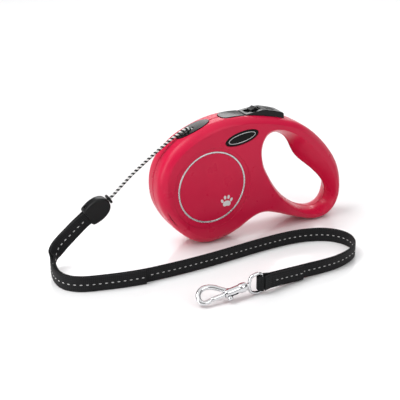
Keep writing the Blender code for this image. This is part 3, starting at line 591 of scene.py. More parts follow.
# ---------------------------------------------------------------- free cord (x, y, z)
CORD_PATH = [
    (-24.7, -5.15, 80.2), (-31, -4, 82.4), (-37.5, -2.6, 84.9), (-44, -0.9, 88.2), (-49, -0.1, 90.8),
    (-52.4, 0, 91.5), (-56, 0, 90.1), (-61, 0, 87.4), (-68.5, 0, 83), (-77, 0, 77.5),
    (-86.5, 0, 70.9), (-96.2, 0, 63.9), (-105.5, 0, 56.1), (-113, 0, 49.7), (-118, 0, 46.56),
    (-121.6, 0, 44.31),
]
cord_white = (0.78, 0.78, 0.76)
cord_black = (0.012, 0.012, 0.013)


def strip_uv(bm, rings, along, around, layer=None):
    """Walls between rings, with strip coordinates in millimetres: along them, and round them."""
    layer = layer or bm.loops.layers.uv.new("strip")
    for i in range(len(rings) - 1):
        for face in bridge(bm, rings[i], rings[i + 1]):
            loops = list(face.loops)
            index = rings[i].index(loops[0].vert)
            for loop, (a, b) in zip(loops, ((0, 0), (0, 1), (1, 1), (1, 0))):
                loop[layer].uv = (along[i + a], around[index + b])
    cap(bm, rings)


def rope(name, path, radius, strands, pitch, lobes, mat, per_strand=6):
    """Twisted cord: a lobed section that turns as it runs along the path."""
    count = strands * per_strand
    path = [Vector(p) for p in path]
    bm = bmesh.new()
    rings, along = [], []
    run = 0.0
    around = [k / per_strand / strands for k in range(count + 1)]
    for i, point in enumerate(path):
        if i:
            run += (point - path[i - 1]).length
        ahead = path[min(i + 1, len(path) - 1)] - path[max(i - 1, 0)]
        basis = frame_from(ahead, (0, 1, 0))
        ring = []
        for k in range(count):
            ang = 2 * math.pi * k / count
            lobe = abs(math.sin(strands * ang / 2))
            r = radius * (1 - lobes + lobes * lobe**0.6)
            turned = ang + 2 * math.pi * run / pitch
            ring.append(bm.verts.new(point + basis @ Vector((r * math.cos(turned), r * math.sin(turned), 0))))
        rings.append(ring)
        along.append(run)
    strip_uv(bm, rings, along, around)
    return finish(name, bm, mat, 180.0)


cord_points = open_curve(CORD_PATH, 560)
cord_mat = braid("cord_braid", cord_black, cord_white)
cord = rope("cord_rope", cord_points, CORD_D / 2, 4, 3.2, 0.2, cord_mat)
stand_for(cord, "housing", "cord")

# ---------------------------------------------------------------- strap (x, y, z)
Z0 = STRAP_W / 2 + 0.1
STRAP_MID = [
    (-135, 0, 35.9), (-138, 0.1, 33.7), (-142.6, 0.9, 29.4), (-147.4, 2, 24.6), (-150.8, 3.2, 20.8),
    (-153.6, 4.3, 17.2), (-156, 4.6, 14), (-157.9, 4.1, 11.2), (-159.4, 2.4, 8.7), (-160.8, -0.8, 6.8),
    (-162.2, -5.6, Z0 + 0.2), (-163.8, -12.5, Z0), (-164.6, -20, Z0), (-163.4, -27.5, Z0),
    (-159, -34, Z0), (-151.5, -38.6, Z0), (-141, -41.6, Z0),
    (-127, -44.8, Z0), (-111, -47.1, Z0), (-93, -47.6, Z0), (-74, -46.8, Z0), (-55, -45.2, Z0),
    (-36, -43.2, Z0), (-17, -41.2, Z0), (0, -40, Z0), (15, -39.9, Z0), (29, -42, Z0),
    (41.2, -47, Z0), (49.2, -55, Z0), (52.2, -64.6, Z0), (50, -74.4, Z0), (43.4, -82.4, Z0),
    (33, -88, Z0), (20, -91.4, Z0), (5, -92.9, Z0), (-10, -93.9, Z0 + 0.4),
    (-24, -95.4, Z0 + 1.3), (-37, -97.4, Z0 + 2.3),
]
BAR = (-44.0, -97.9, 8.4)
LAYER = 1.1            # sideways step from the strap's line to each of the doubled layers
FOLD_A = 23            # stations of the doubled length at the connector
FOLD_B = 64            # first station of the doubled length at the snap
MERGE_A = (FOLD_A + 9, 8.0)    # where the main layer is back on its line, and over how many stations
MERGE_B = (FOLD_B - 5, 4.0)    # where it starts to leave its line again
PIN_U = -6.2           # the strap's pin, along the connector
COARSE = 70            # stations of the strap's route in the CAD
FINE = 8               # finer stations between them
LAST = (COARSE - 1) * FINE
CU = Vector((math.cos(math.radians(CONN_TILT)), 0, math.sin(math.radians(CONN_TILT))))
CW = Vector((-CU.z, 0, CU.x))
UP = Vector((0, 0, 1))
THROUGH = Vector((0, 1, 0))    # through the thickness


def conn(u, y, w):
    return Vector(CONN) + CU * u + CW * w + Vector((0, y, 0))


coarse_mid = open_curve(STRAP_MID, COARSE)
mid = [Vector(p) for p in open_curve(coarse_mid, LAST + 1)]
mid_frames = upright_frames(mid)


def lay(i):
    """Sideways offset of the main layer: clear of the folded layers near both ends."""
    station = i / FINE
    start = min(1.0, max(0.0, (MERGE_A[0] - station) / MERGE_A[1]))
    end = min(1.0, max(0.0, (station - MERGE_B[0]) / MERGE_B[1]))
    return (end - start) * LAYER


def turn(centre, toward, across, radius, top, steps=24):
    """Half turn of the strap round a pin: from +across, through toward, to -across."""
    out = []
    for k in range(steps + 1):
        ang = math.pi / 2 - math.pi * k / steps
        c, s = math.cos(ang), math.sin(ang)
        out.append((Vector(centre) + toward * (radius * c) + across * (radius * s),
                    toward * c + across * s, top))
    return out


def tape_section():
    """Half-thickness against height of the woven tape: full in the middle, bound and thinner at the edges."""
    half = []
    for k in range(15):
        h = -1 + 2 * k / 14
        edge = 1 - abs(h)
        thick = 0.62 + 0.38 * min(1.0, edge / 0.16) ** 0.5 if edge > 0.001 else 0.35
        half.append((h * STRAP_W / 2, thick * STRAP_T / 2))
    return half


TAPE = tape_section()


def tape(name, stations, mat, start_run=0.0):
    """Woven tape along (point, side, top) stations, with strip coordinates in millimetres."""
    bm = bmesh.new()
    rings, along = [], []
    run = start_run
    for i, (point, side, top) in enumerate(stations):
        if i:
            run += (point - stations[i - 1][0]).length
        ring = [bm.verts.new(point + side * t + top * h) for h, t in TAPE]
        ring += [bm.verts.new(point - side * t + top * h) for h, t in reversed(TAPE)]
        rings.append(ring)
        along.append(run)
    around = [h for h, t in TAPE]
    around += [STRAP_W + STRAP_T - h for h, t in reversed(TAPE)] + [around[0] + 2 * (STRAP_W + STRAP_T)]
    strip_uv(bm, rings, along, around)
    return finish(name, bm, mat, 60.0)


first_turn = [(p, -s, t) for p, s, t in turn(conn(PIN_U, 0, 0), CU, THROUGH, 2.3, CW)]
main_layer = [(p + s * lay(i), s, t) for i, (p, (s, t)) in enumerate(zip(mid, mid_frames))]
bar_turn = turn(BAR, Vector((-1, 0, 0)), THROUGH, 2.9, UP)


JOIN_STEPS = 5


def join(before, after, steps=JOIN_STEPS):
    """Stations that pass smoothly from the end of one run of the strap to the start of the next."""
    (p0, s0, t0), (p3, s3, t3) = before[-1], after[0]
    out = []
    for k in range(1, steps):
        f = k / steps
        out.append((p0.lerp(p3, f), s0.lerp(s3, f).normalized(), t0.lerp(t3, f).normalized()))
    return out


strap_stations = first_turn + join(first_turn, main_layer) + main_layer
strap_stations += join(main_layer, bar_turn) + bar_turn
strap_mat = webbing("strap_webbing", (0.0012, 0.0012, 0.0014), (0.016, 0.016, 0.0175))
strap = tape("strap_webbing", strap_stations, strap_mat)
stand_for(strap, "housing", "strap")
fold_a = [(conn(PIN_U - 0.9, 2.1, 0), THROUGH, CW)]
fold_a_run = [(mid[i] + mid_frames[i][0] * LAYER, *mid_frames[i]) for i in range(0, (FOLD_A - 1) * FINE + 1)]
fold_a = fold_a + join(fold_a, fold_a_run) + fold_a_run
fold_cord = tape("fold_at_connector", fold_a, strap_mat, 40.0)
stand_for(fold_cord, "housing", "strap_fold_cord_end")
fold_b_run = [(mid[i] - mid_frames[i][0] * LAYER, *mid_frames[i]) for i in range(FOLD_B * FINE, LAST + 1)]
fold_b_end = [(Vector(BAR) + Vector((0.9, -2.9, 0)), THROUGH, UP)]
fold_b = fold_b_run + join(fold_b_run, fold_b_end) + fold_b_end
fold_snap = tape("fold_at_snap", fold_b, strap_mat, 80.0)
stand_for(fold_snap, "housing", "strap_fold_snap_end")

# stitching: one row of short thread bars down the middle of each face
STITCH_PITCH = 4.4
STITCH = 1.9           # length of one visible stitch
STITCH_LEAD = 1.2      # plain tape before the first stitch
STITCH_TAIL = 0.8      # plain tape kept after the last one
THREAD = 0.36          # half-thickness of the thread
THREAD_SIDES = 8
THREAD_STEPS = 8


def stitch_row(bm, stations, flip, layer, phase=0.0):
    """Slightly sunk thread bars along one face of a run of tape."""
    points = [station[0] for station in stations]
    run = [0.0]
    for a, b in zip(points, points[1:]):
        run.append(run[-1] + (b - a).length)
    at = phase + STITCH_LEAD
    while at + STITCH < run[-1] - STITCH_TAIL:
        rings, along = [], []
        for k in range(THREAD_STEPS + 1):
            f = k / THREAD_STEPS
            where = at + STITCH * f
            j = min(len(run) - 2, max(0, int(np.searchsorted(run, where)) - 1))
            g = (where - run[j]) / (run[j + 1] - run[j])
            point = points[j].lerp(points[j + 1], g)
            side = stations[j][1].lerp(stations[j + 1][1], g).normalized() * flip
            top = stations[j][2]
            girth = math.sin(math.pi * (0.08 + 0.84 * f)) ** 0.35
            rise = STRAP_T / 2 - 0.12 + 0.16 * math.sin(math.pi * f)
            ring = []
            for c, s in circle(THREAD_SIDES):
                ring.append(bm.verts.new(point + side * (rise + THREAD * 0.62 * girth * c)
                                         + top * (THREAD * girth * s)))
            rings.append(ring)
            along.append(where)
        around = [THREAD * 2 * math.pi * k / THREAD_SIDES for k in range(THREAD_SIDES + 1)]
        strip_uv(bm, rings, along, around, layer)
        at += STITCH_PITCH


stitch_bm = bmesh.new()
stitch_uv = stitch_bm.loops.layers.uv.new("strip")
stitch_row(stitch_bm, main_layer, -1.0, stitch_uv)
stitch_row(stitch_bm, main_layer[(FOLD_A - 1) * FINE + 3:], 1.0, stitch_uv, 0.6)
stitch_row(stitch_bm, fold_a_run, 1.0, stitch_uv)
stitch_row(stitch_bm, fold_b_run, -1.0, stitch_uv)
stitch_mat = thread("stitch_thread", (0.3, 0.3, 0.3), (0.72, 0.72, 0.71))
stitching = finish("strap_stitching", stitch_bm, stitch_mat, 60.0)
stand_for(stitching, "housing")

# ---------------------------------------------------------------- housing outline (x, z, shoulder inset)
OUTLINE = [
    (-37.5, 0, 6), (-27.5, 1.1, 6), (-18.5, 3.6, 5.5), (-10, 7.4, 5), (-2.8, 11.8, 4.5),
    (3.5, 14.6, 4.2), (10, 15.4, 4), (18, 13.8, 3.6), (28.8, 9.8, 3.2), (40.4, 5.2, 3),
    (50.5, 1.6, 3), (60, 0, 3), (69.5, 1.6, 3.2), (77, 7.4, 3.6), (81.2, 16.4, 4),
    (81.8, 27, 4.4), (78.2, 43, 4.8), (69, 58.2, 5), (57.4, 71, 5), (46.8, 79.6, 4.7),
    (37.5, 85, 4.5), (27, 89.2, 4.5), (15, 92.6, 4.5), (2.5, 95.2, 4.6), (-10, 96.8, 4.8),
    (-22, 96.9, 5), (-36, 94.8, 5.2), (-47, 91.3, 5.4), (-57, 86.9, 5.6), (-66, 80.8, 5.8),
    (-73.5, 73, 6), (-78.6, 62.5, 6), (-80, 51, 6), (-78.6, 39.5, 6), (-74, 28.8, 6),
    (-66.6, 18, 6), (-57.8, 9.2, 6), (-47.8, 2.6, 6),
]
# hand opening: edge at the middle plane (x, z), crease on the face (x, z), steepness of the slope between
OPENING = [
    (8.8, 62, 4.4, 62.5, 3), (9.2, 70, 4.4, 72, 3), (12.6, 75.4, 7.8, 80, 2.6),
    (19, 77.8, 14, 83.4, 2), (26, 76.2, 22.2, 82.6, 1.6), (32, 72.2, 31, 79, 1.3),
    (36.2, 66, 40, 73.4, 1.2), (40.2, 58.2, 49, 66, 1.2), (46.5, 50.8, 56.6, 58.3, 1.2),
    (55, 43.5, 63.8, 50, 1.2), (63.5, 35.3, 70, 41, 1.2), (69.4, 27.5, 74.6, 31, 1.3),
    (71.8, 20.5, 75.6, 21.6, 1.5), (71, 14.8, 74, 13.2, 1.6), (67.4, 10.8, 69.8, 7.6, 1.8),
    (60.6, 8.5, 60.9, 5, 2), (52, 9.8, 50.5, 6.9, 2.4), (43.5, 13.4, 41.5, 10.9, 2.6),
    (34.5, 19.8, 32.2, 17.8, 3), (26.2, 28, 23.4, 26.2, 3), (19, 37.5, 15.8, 36.2, 3),
    (13.4, 47.5, 9.8, 46.8, 3), (10, 55.5, 6, 55, 3),
]
OUT_N = 260
HOLE_N = 168
OUTER = closed_curve(OUTLINE, OUT_N)
HOLE = closed_curve(OPENING, HOLE_N)
SHOULDER_ROUND = 2.1   # fullness of the shoulder where it leaves the rim
SHOULDER_END = 1.25    # how sharply it meets the broad face


def shoulder(y):
    """Share of the shoulder inset reached at distance y from the middle plane."""
    if y <= RIM:
        return 0.02 * y / RIM
    t = (y - RIM) / (HALF_T - RIM)
    return 0.02 + 0.98 * (1 - (1 - t**SHOULDER_ROUND) ** (1 / SHOULDER_END))


def outer_ring(y, grow=0.0):
    loop = inset(OUTER[:, :2], OUTER[:, 2] * shoulder(abs(y)) - grow)
    return [(x, y, z) for x, z in loop]


def hole_ring(y, grow=0.0):
    blend = (abs(y) / HALF_T) ** HOLE[:, 4]
    loop = HOLE[:, :2] + (HOLE[:, 2:4] - HOLE[:, :2]) * blend[:, None]
    loop = inset(loop, -grow)
    return [(x, y, z) for x, z in loop]


# (distance from the middle plane, growth of the outline): a fine chamfer at the parting line, then plain
OUT_STATIONS = [(SPLIT, -0.35), (0.35, -0.2), (0.6, -0.05)] + [(y, 0.0) for y in (
    0.9, 3.0, RIM, 7.0, 8.0, 9.0, 9.9, 10.7, 11.4, 12.0, 12.5, 12.9, 13.2, 13.4, HALF_T)]
HOLE_STATIONS = [(SPLIT, 0.3), (0.4, 0.15)] + [(y, 0.0) for y in (
    0.8, 2.5, 4.5, 6.5, 8.5, 10.0, 11.3, 12.3, 13.0, HALF_T)]
TAPER_X = (30.0, 42.0, 54.0, 66.0, 78.0, 90.0)
TAPER_K = (1.0, 0.96, 0.89, 0.82, 0.77, 0.75)


def taper(bm):
    """Thin the grip: cross edges at the taper's knots, then scale y from the parting plane outwards."""
    for x in TAPER_X[:-1]:
        geom = list(bm.verts) + list(bm.edges) + list(bm.faces)
        bmesh.ops.bisect_plane(bm, geom=geom, dist=1e-4, plane_co=(x, 0, 0), plane_no=(1, 0, 0))
    for vert in bm.verts:
        depth = abs(vert.co.y) - SPLIT
        left = float(np.interp(vert.co.x, TAPER_X, TAPER_K))
        vert.co.y = math.copysign(SPLIT + depth * left, vert.co.y)


def housing_half(name, side, mat):
    bm = bmesh.new()
    outer = [ring_verts(bm, outer_ring(side * y, grow)) for y, grow in OUT_STATIONS]
    inner = [ring_verts(bm, hole_ring(side * y, grow)) for y, grow in HOLE_STATIONS]
    for stack in (outer, inner):
        for a, b in zip(stack, stack[1:]):
            bridge(bm, a, b)
    fill_between(bm, outer[0], inner[0])
    fill_between(bm, outer[-1], inner[-1])
    taper(bm)
    return finish(name, bm, mat)


def rim_body(name, grow=0.5):
    """Solid to the housing's rim, slightly proud: trims the flush inserts."""
    bm = bmesh.new()
    skin(bm, [ring_verts(bm, outer_ring(y, grow)) for y in (-8.6, -RIM, -3.0, 0.0, 3.0, RIM, 8.6)])
    return finish(name, bm, None)


OUTLET = Vector((-47.2, 0.0, 91.2))
OUT_T = Vector((0.937, 0.0, 0.349))
OUT_UP = Vector((-0.349, 0.0, 0.937))
PAD_WELL = [(-6.6, -6.9), (-20, -6.9), (-23.2, -5.9), (-25, -3.6), (-25.6, 0), (-25, 3.6),
            (-23.2, 5.9), (-20, 6.9), (-6.6, 6.9)]
SCREWS = {"neck": (5.0, 27.0), "tail": (20.5, 19.5)}
BADGE = (-12.6, 82.0)
lead = open_curve(CORD_PATH[:7], 64)


def outlet_rings(a, b, low, high, count=96):
    return [[OUTLET + OUT_T * (a * c) + Vector((0, b * s, 0)) + OUT_UP * h for c, s in circle(count)]
            for h in (low, high)]


def throat(name, radius, flare):
    ring = [(radius * a, radius * b) for a, b in circle(32)]
    scale = [1.0 + flare * max(0.0, (i - 36) / 27.0) for i in range(64)]
    return loft(name, sweep_rings(lead, ring, (0, 1, 0), scale), None)


def rounded_run(points, radius, steps=6):
    """Outline with its corners rounded by small arcs (quadratic), for prisms."""
    out = []
    n = len(points)
    for i in range(n):
        p = np.array(points[i], float)
        a = np.array(points[i - 1], float)
        b = np.array(points[(i + 1) % n], float)
        ra = min(radius, np.linalg.norm(a - p) * 0.45)
        rb = min(radius, np.linalg.norm(b - p) * 0.45)
        start = p + (a - p) / np.linalg.norm(a - p) * ra
        end = p + (b - p) / np.linalg.norm(b - p) * rb
        for k in range(steps + 1):
            t = k / steps
            out.append(tuple((1 - t)**2 * start + 2 * t * (1 - t) * p + t * t * end))
    return out


GRIP_HOLLOW = [(39.5, 76.2), (47.6, 68.6), (54.6, 61.2), (62, 53.4), (68, 44.6), (72.2, 34.6),
               (75.2, 36), (71.8, 45.6), (64.6, 56.6), (54.8, 67.6), (46.4, 75.8), (40.6, 80.2)]


def housing_cutters(side):
    """The housing's wells, bores and recesses, as solids to take away."""
    cuts = [
        rod("cut_chamber", (REEL[0], -CHAMBER_Y, REEL[1]), (REEL[0], CHAMBER_Y, REEL[1]), CHAMBER_R,
            None, 96),
        rod("cut_axle", (REEL[0], -12.6, REEL[1]), (REEL[0], 12.6, REEL[1]), 3.15),
        rod("cut_pin", (PIVOT[0], -9.2, PIVOT[1]), (PIVOT[0], 9.2, PIVOT[1]), 1.35, None, 24),
        prism_xz("cut_button", [(-6.6, 104), (-6.6, 87.6), (4.8, 87), (11, 84.9), (19.5, 83.5),
                                (28.4, 83), (28.4, 104)], -6.9, 6.9),
        prism_xz("cut_lever", [(-6.5, 57), (-1.5, 55.5), (2.6, 57.5), (4.2, 63), (4.6, 72), (4.6, 90),
                               (-6.5, 90), (-8.5, 76)], -1.9, 1.6),
        prism_xz("cut_grip", GRIP_HOLLOW, -7.6, 7.6),
        loft("cut_pad", [[(x, y, z) for x, y in rounded_run(PAD_WELL, 1.2)] for z in (93.2, 104.0)], None),
        loft("cut_outlet", outlet_rings(14.2, 6.6, -4.6, 8.0), None),
        throat("cut_tunnel", 2.9, 0.0),
        rod("cut_dish", (REEL[0], side * 13.15, 46.0), (REEL[0], side * 15, 46.0), 32.0, None, 160),
        prism_xz("cut_badge", ellipse(*BADGE, 14.4, 5.3, 10, 72), side * 12.7, side * 14.5),
    ]
    if side < 0:
        groove = [(26.75, -14), (28.25, -14), (28.25, -12.6), (26.75, -12.6)]
        cuts.append(revolve("cut_groove", groove, REEL, None, 160))
    for key, (x, z) in SCREWS.items():
        rings = rod_rings((x, -8.2, z), (x, 15, z), [(0, 1.4), (18.6, 1.4), (18.6, 2.7), (23.2, 2.7)], 32)
        cuts.append(loft("cut_screw_" + key, rings, None))
    return cuts


RED = (0.60, 0.008, 0.052)
red = plastic("red_satin", RED, 0.3, (1700.0, 0.008), vary=0.035, edge=0.4, wear_highlight=0.06, gloss=0.24,
              rough_vary=0.04)
for side, node in ((-1, "front_shell"), (1, "rear_shell")):
    shell = housing_half(node + "_moulded", side, red)
    carve(shell, housing_cutters(side))
    place(shell, "housing", node, 24.0)

# ---------------------------------------------------------------- inserts on the rim
gloss_black = plastic("black_gloss", (0.006, 0.006, 0.0065), 0.2, (1300.0, 0.006), vary=0.1, wear_highlight=0.03,
                      gloss=0.22)
satin_black = plastic("black_satin", (0.007, 0.007, 0.0075), 0.32, (1500.0, 0.012), vary=0.12, edge=0.3,
                      wear_highlight=0.03, gloss=0.2)
insert = loft("outlet_insert", outlet_rings(13.9, 6.3, -4.3, 8.0), gloss_black)
carve(insert, [rim_body("trim_rim")], "INTERSECT")
carve(insert, [throat("cut_throat", 1.75, 0.35)])
place(insert, "housing", "cord_outlet")

PAD_IN = [(-6.95, -6.6), (-19.9, -6.6), (-22.95, -5.65), (-24.7, -3.45), (-25.3, 0), (-24.7, 3.45),
          (-22.95, 5.65), (-19.9, 6.6), (-6.95, 6.6)]
pad = loft("button_pad_moulded", [[(x, y, z) for x, y in rounded_run(PAD_IN, 1.2)] for z in (93.5, 104.0)],
           gloss_black)
carve(pad, [rim_body("trim_rim")], "INTERSECT")
place(pad, "housing", "button_pad")

BUTTON_SIDE = [(-6.1, 93), (-6.1, 96.2), (-5, 96.9), (0, 97.5), (8.6, 98.2), (12, 98), (19, 96.2),
               (26.2, 93.8), (27.6, 92.8), (27.9, 87.6), (15, 89.4), (2, 93.6)]


def bevelled(obj, width, segments=3, degrees=35):
    mod = obj.modifiers.new("edge", "BEVEL")
    mod.width = width * MM
    mod.segments = segments
    mod.limit_method = "ANGLE"
    mod.angle_limit = math.radians(degrees)
    settle(obj)


button = prism_xz("brake_button_moulded", BUTTON_SIDE, -6.6, 6.6, gloss_black)
bevelled(button, 0.7, 4)
hubs = [rod("hub", (PIVOT[0], s * 2.2, PIVOT[1]), (PIVOT[0], s * 5.6, PIVOT[1]), 2.6) for s in (-1, 1)]
carve(button, hubs, "UNION")
carve(button, [
    prism_xz("cut_lock_slot", [(-3.4, 96), (9.4, 96.9), (9.4, 102), (-3.4, 102)], -3.3, 3.3),
    prism_xz("cut_under", [(-7.4, 86), (-7.4, 94.8), (3, 94.9), (14.5, 91.9), (14.5, 86)], -1.8, 1.8),
    rod("cut_bore", (PIVOT[0], -8, PIVOT[1]), (PIVOT[0], 8, PIVOT[1]), 1.45, None, 24),
])
place(button, "button", "brake_button")

# thumb ribs across the rear of the button
RIB = 0.42
rib_bm = bmesh.new()
RIB_LINE = ((12.0, 98.0), (19.0, 96.2), (26.2, 93.8))
for x in (14.6, 16.6, 18.6, 20.6):
    z = float(np.interp(x, *zip(*RIB_LINE)))
    rings = []
    for y in np.linspace(-4.6, 4.6, 13):
        girth = (1 - (abs(y) / 4.7) ** 4) ** 0.5
        rings.append([rib_bm.verts.new((x + RIB * girth * c, float(y), z - 0.1 + RIB * girth * s))
                      for c, s in circle(10)])
    skin(rib_bm, rings)
ribs = finish("button_ribs", rib_bm, gloss_black)
stand_for(ribs, "button")

LOCK = [(0.2, 96.5), (0.4, 98.3), (2.6, 99.2), (4.4, 100.3), (5.4, 99.5), (6.8, 98.6), (7.6, 98.4),
        (7.8, 97.05)]
lock = prism_xz("lock_slider_moulded", LOCK, -3.0, 3.0, gloss_black)
bevelled(lock, 0.22, 3)
place(lock, "lock", "lock_slider")

# ---------------------------------------------------------------- face trim
silver = metal("silver_foil", (0.72, 0.72, 0.73), 0.28, 500.0, 0.004)
TRIM_R = 27.5          # radius of the inlaid ring
TRIM_HALF = 0.62       # half its width
TRIM_RISE = 0.28       # half its thickness
ring_section = [(TRIM_R + TRIM_HALF * c * abs(c)**-0.3 if abs(c) > 1e-6 else TRIM_R, -13.05 + TRIM_RISE * s)
                for c, s in circle(16)]
trim = revolve("ring_inlay", ring_section, REEL, silver, 192)
stand_for(trim, "housing", "trim_ring")
badge_black = plastic("badge_lacquer", (0.003, 0.003, 0.003), 0.08, (300.0, 0.002), vary=0.1, edge=0.1,
                      wear_highlight=0.02, gloss=0.13, rough_vary=0.02)


def badge(name, side):
    """Domed oval plate."""
    rings = []
    for shrink, y in ((0.0, 12.85), (0.0, 13.12), (0.12, 13.24), (0.4, 13.33), (1.0, 13.39), (2.0, 13.425),
                      (3.2, 13.445), (4.2, 13.45)):
        rings.append([(x, side * y, z) for x, z in ellipse(*BADGE, 14.1 - shrink, 5.0 - shrink, 10, 96)])
    return loft(name, rings, badge_black, 50.0)


for side, node in ((-1, "badge_front"), (1, "badge_rear")):
    plate = badge(node + "_domed", side)
    weigh(plate)
    stand_for(plate, "housing", node)
    rows = []
    for (x0, z0), (x1, z1) in zip(ellipse(*BADGE, 11.5, 3.35, 10, 96), ellipse(*BADGE, 11.15, 3.0, 10, 96)):
        rows.append([(x0, side * 13.40, z0), (x0, side * 13.47, z0),
                     (x1, side * 13.48, z1), (x1, side * 13.40, z1)])
    oval = torus_like(node + "_line", rows, silver)
    stand_for(oval, "housing")

# plain paw print, printed on the dish
PAW = (-25.0, 33.0)
paw_bm = bmesh.new()


def print_blob(bm, cx, cz, a, b, tilt, dent=0.0):
    loop = []
    for x, z in ellipse(0, 0, a, b, 0, 40):
        lift = dent * max(0.0, -z / b) ** 2 * math.cos(math.pi * x / (a * 2)) ** 2
        c, k = math.cos(math.radians(tilt)), math.sin(math.radians(tilt))
        z += lift
        loop.append((cx + x * c - z * k, cz + x * k + z * c))
    skin(bm, [ring_verts(bm, [(x, FACE_Y + step, z) for x, z in loop]) for step in (0.05, -0.03)])


print_blob(paw_bm, PAW[0], PAW[1] - 1.6, 3.3, 2.6, 0, 1.0)
for dx, dz, tilt in ((-3.9, 1.2, 24), (-1.5, 3.7, 8), (1.5, 3.7, -8), (3.9, 1.2, -24)):
    print_blob(paw_bm, PAW[0] + dx, PAW[1] + dz, 1.05, 1.6, tilt)
silver_print = plastic("silver_print", (0.72, 0.71, 0.71), 0.35, (900.0, 0.004), vary=0.06, edge=0.05,
                       wear_highlight=0.0)
paw = finish("paw_print", paw_bm, silver_print)
stand_for(paw, "housing")

# ---------------------------------------------------------------- connector on the cord
CONN_OUT = [(-9.3, -6.9), (-6.2, -7.9), (-1.6, -8.3), (3.2, -7.6), (6.9, -5.8), (9, -3.1), (9.5, 0),
            (9, 3.1), (6.9, 5.8), (3.2, 7.6), (-1.6, 8.3), (-6.2, 7.9), (-9.3, 6.9), (-9.7, 0)]
conn_loop = closed_curve(CONN_OUT, 120)


def conn_rings(stations):
    return [[conn(u, y, w) for u, w in inset(conn_loop, d)] for y, d in stations]


CONN_EDGE = [(4.2, 1.75), (4.17, 1.4), (4.05, 1.05), (3.85, 0.72), (3.55, 0.42), (3.1, 0.2), (2.4, 0.06),
             (1.2, 0)]
connector = loft("connector_moulded", conn_rings([(-y, d) for y, d in CONN_EDGE] + [(0.35, 0.0)]
                                                 + [(y, d) for y, d in reversed(CONN_EDGE)]), satin_black)
carve(connector, [
    box_on("cut_slot", conn, (-14, -2.5), (-3.45, 3.45), (-5.85, 5.85)),
    rod("cut_conn_pin", conn(PIN_U, 0, -6.9), conn(PIN_U, 0, 12.0), 1.35, None, 32),
    loft("cut_conn_bore", rod_rings(conn(-3.0, 0, 0), conn(14, 0, 0),
                                    [(0, 2.65), (6.8, 2.65), (8.0, 1.5), (17, 1.5)], 32), None),
])
place(connector, "housing", "connector_body")

# collar where the cord enters, with a rolled rim
basis = frame_from(CU)
collar_profile = [(1.5, 9.85), (2.5, 9.8), (3.2, 9.83), (3.55, 9.95), (3.74, 10.2), (3.8, 10.5), (3.8, 11.1),
                  (3.68, 11.45), (3.35, 11.68), (2.9, 11.75), (2.2, 11.7), (1.75, 11.45), (1.5, 11.1)]
rows = [[Vector(CONN) + basis @ Vector((r * c, r * s, d)) for r, d in collar_profile] for c, s in circle(64)]
collar = torus_like("collar_moulded", rows, satin_black, 40.0)
stand_for(collar, "housing", "connector_collar")
steel = metal("ground_steel", (0.6, 0.6, 0.61), 0.24, 420.0, 0.004, brush=(1.0, 1.0, 12.0))
PIN = [(0, 0.9), (0.25, 1.15), (13.1, 1.15), (13.4, 1), (13.6, 0.6)]
pin = loft("connector_pin_domed", rod_rings(conn(PIN_U, 0, -6.6), conn(PIN_U, 0, 7.0), PIN, 32), steel)
stand_for(pin, "housing", "connector_pin")
knot_path = []
for i in range(121):
    t = 2 * math.pi * i / 120
    knot_path.append(conn(0.7 + 1.2 * math.sin(3 * t), 0.95 * (math.sin(t) + 0.6 * math.sin(2 * t)),
                          0.95 * (math.cos(t) - 0.6 * math.cos(2 * t))))
bm = bmesh.new()
knot_section = [(0.8 * a, 0.8 * b) for a, b in circle(12)]
rings = [ring_verts(bm, ring) for ring in sweep_rings(knot_path[:-1], knot_section, CU)]
layer = bm.loops.layers.uv.new("strip")
for i in range(len(rings)):
    for face in bridge(bm, rings[i], rings[(i + 1) % len(rings)]):
        for k, loop in enumerate(face.loops):
            loop[layer].uv = (i * 0.3, k * 0.25)
knot = finish("cord_knot_tied", bm, cord_mat, 180.0)
stand_for(knot, "housing", "cord_knot")

# ---------------------------------------------------------------- swivel eye and bolt snap
EYE = Vector((-54.8, -97.9, 8.5))
drop = math.radians(HOOK_DROP)
roll = math.radians(HOOK_ROLL)
HU = Vector((-math.cos(drop), 0, -math.sin(drop)))
flat_up = Vector((-math.sin(drop), 0, math.cos(drop)))
HV = THROUGH * math.cos(roll) + flat_up * math.sin(roll)
HW = HU.cross(HV)
chrome = metal("bright_chrome", (0.72, 0.72, 0.735), 0.09, 260.0, 0.01, tint=0.05)


def hook(u, v, w=0.0):
    return EYE + HU * u + HV * v + HW * w


EYE_N = 96
EYE_LOOP = [(10.8, -5), (10.9, 0), (10.8, 5), (9.4, 6.85), (5.6, 7), (2.2, 5.5), (0.9, 2.4),
            (0.9, -2.4), (2.2, -5.5), (5.6, -7), (9.4, -6.85)]
eye_path = closed_curve(EYE_LOOP, EYE_N)
rows = []
for i, (a, b) in enumerate(eye_path):
    ahead = eye_path[(i + 1) % EYE_N] - eye_path[i - 1]
    ahead = ahead / np.linalg.norm(ahead)
    out = (ahead[1], -ahead[0])
    rows.append([(EYE.x + a + 1.15 * c * out[0], EYE.y + 1.35 * s, EYE.z + b + 1.15 * c * out[1])
                 for c, s in circle(24)])
eye = torus_like("swivel_eye_cast", rows, chrome)
STEM = [(0, 1.5), (3.6, 1.5), (3.9, 1.4), (5.6, 1.4), (5.8, 2), (7.6, 2), (8.2, 1.4)]
stem = loft("stem", rod_rings(hook(-1.6, 0), hook(6.6, 0), STEM, 40), None)
carve(eye, [stem], "UNION")
crisp(eye.data, 35.0)
stand_for(eye, "housing", "swivel_eye")

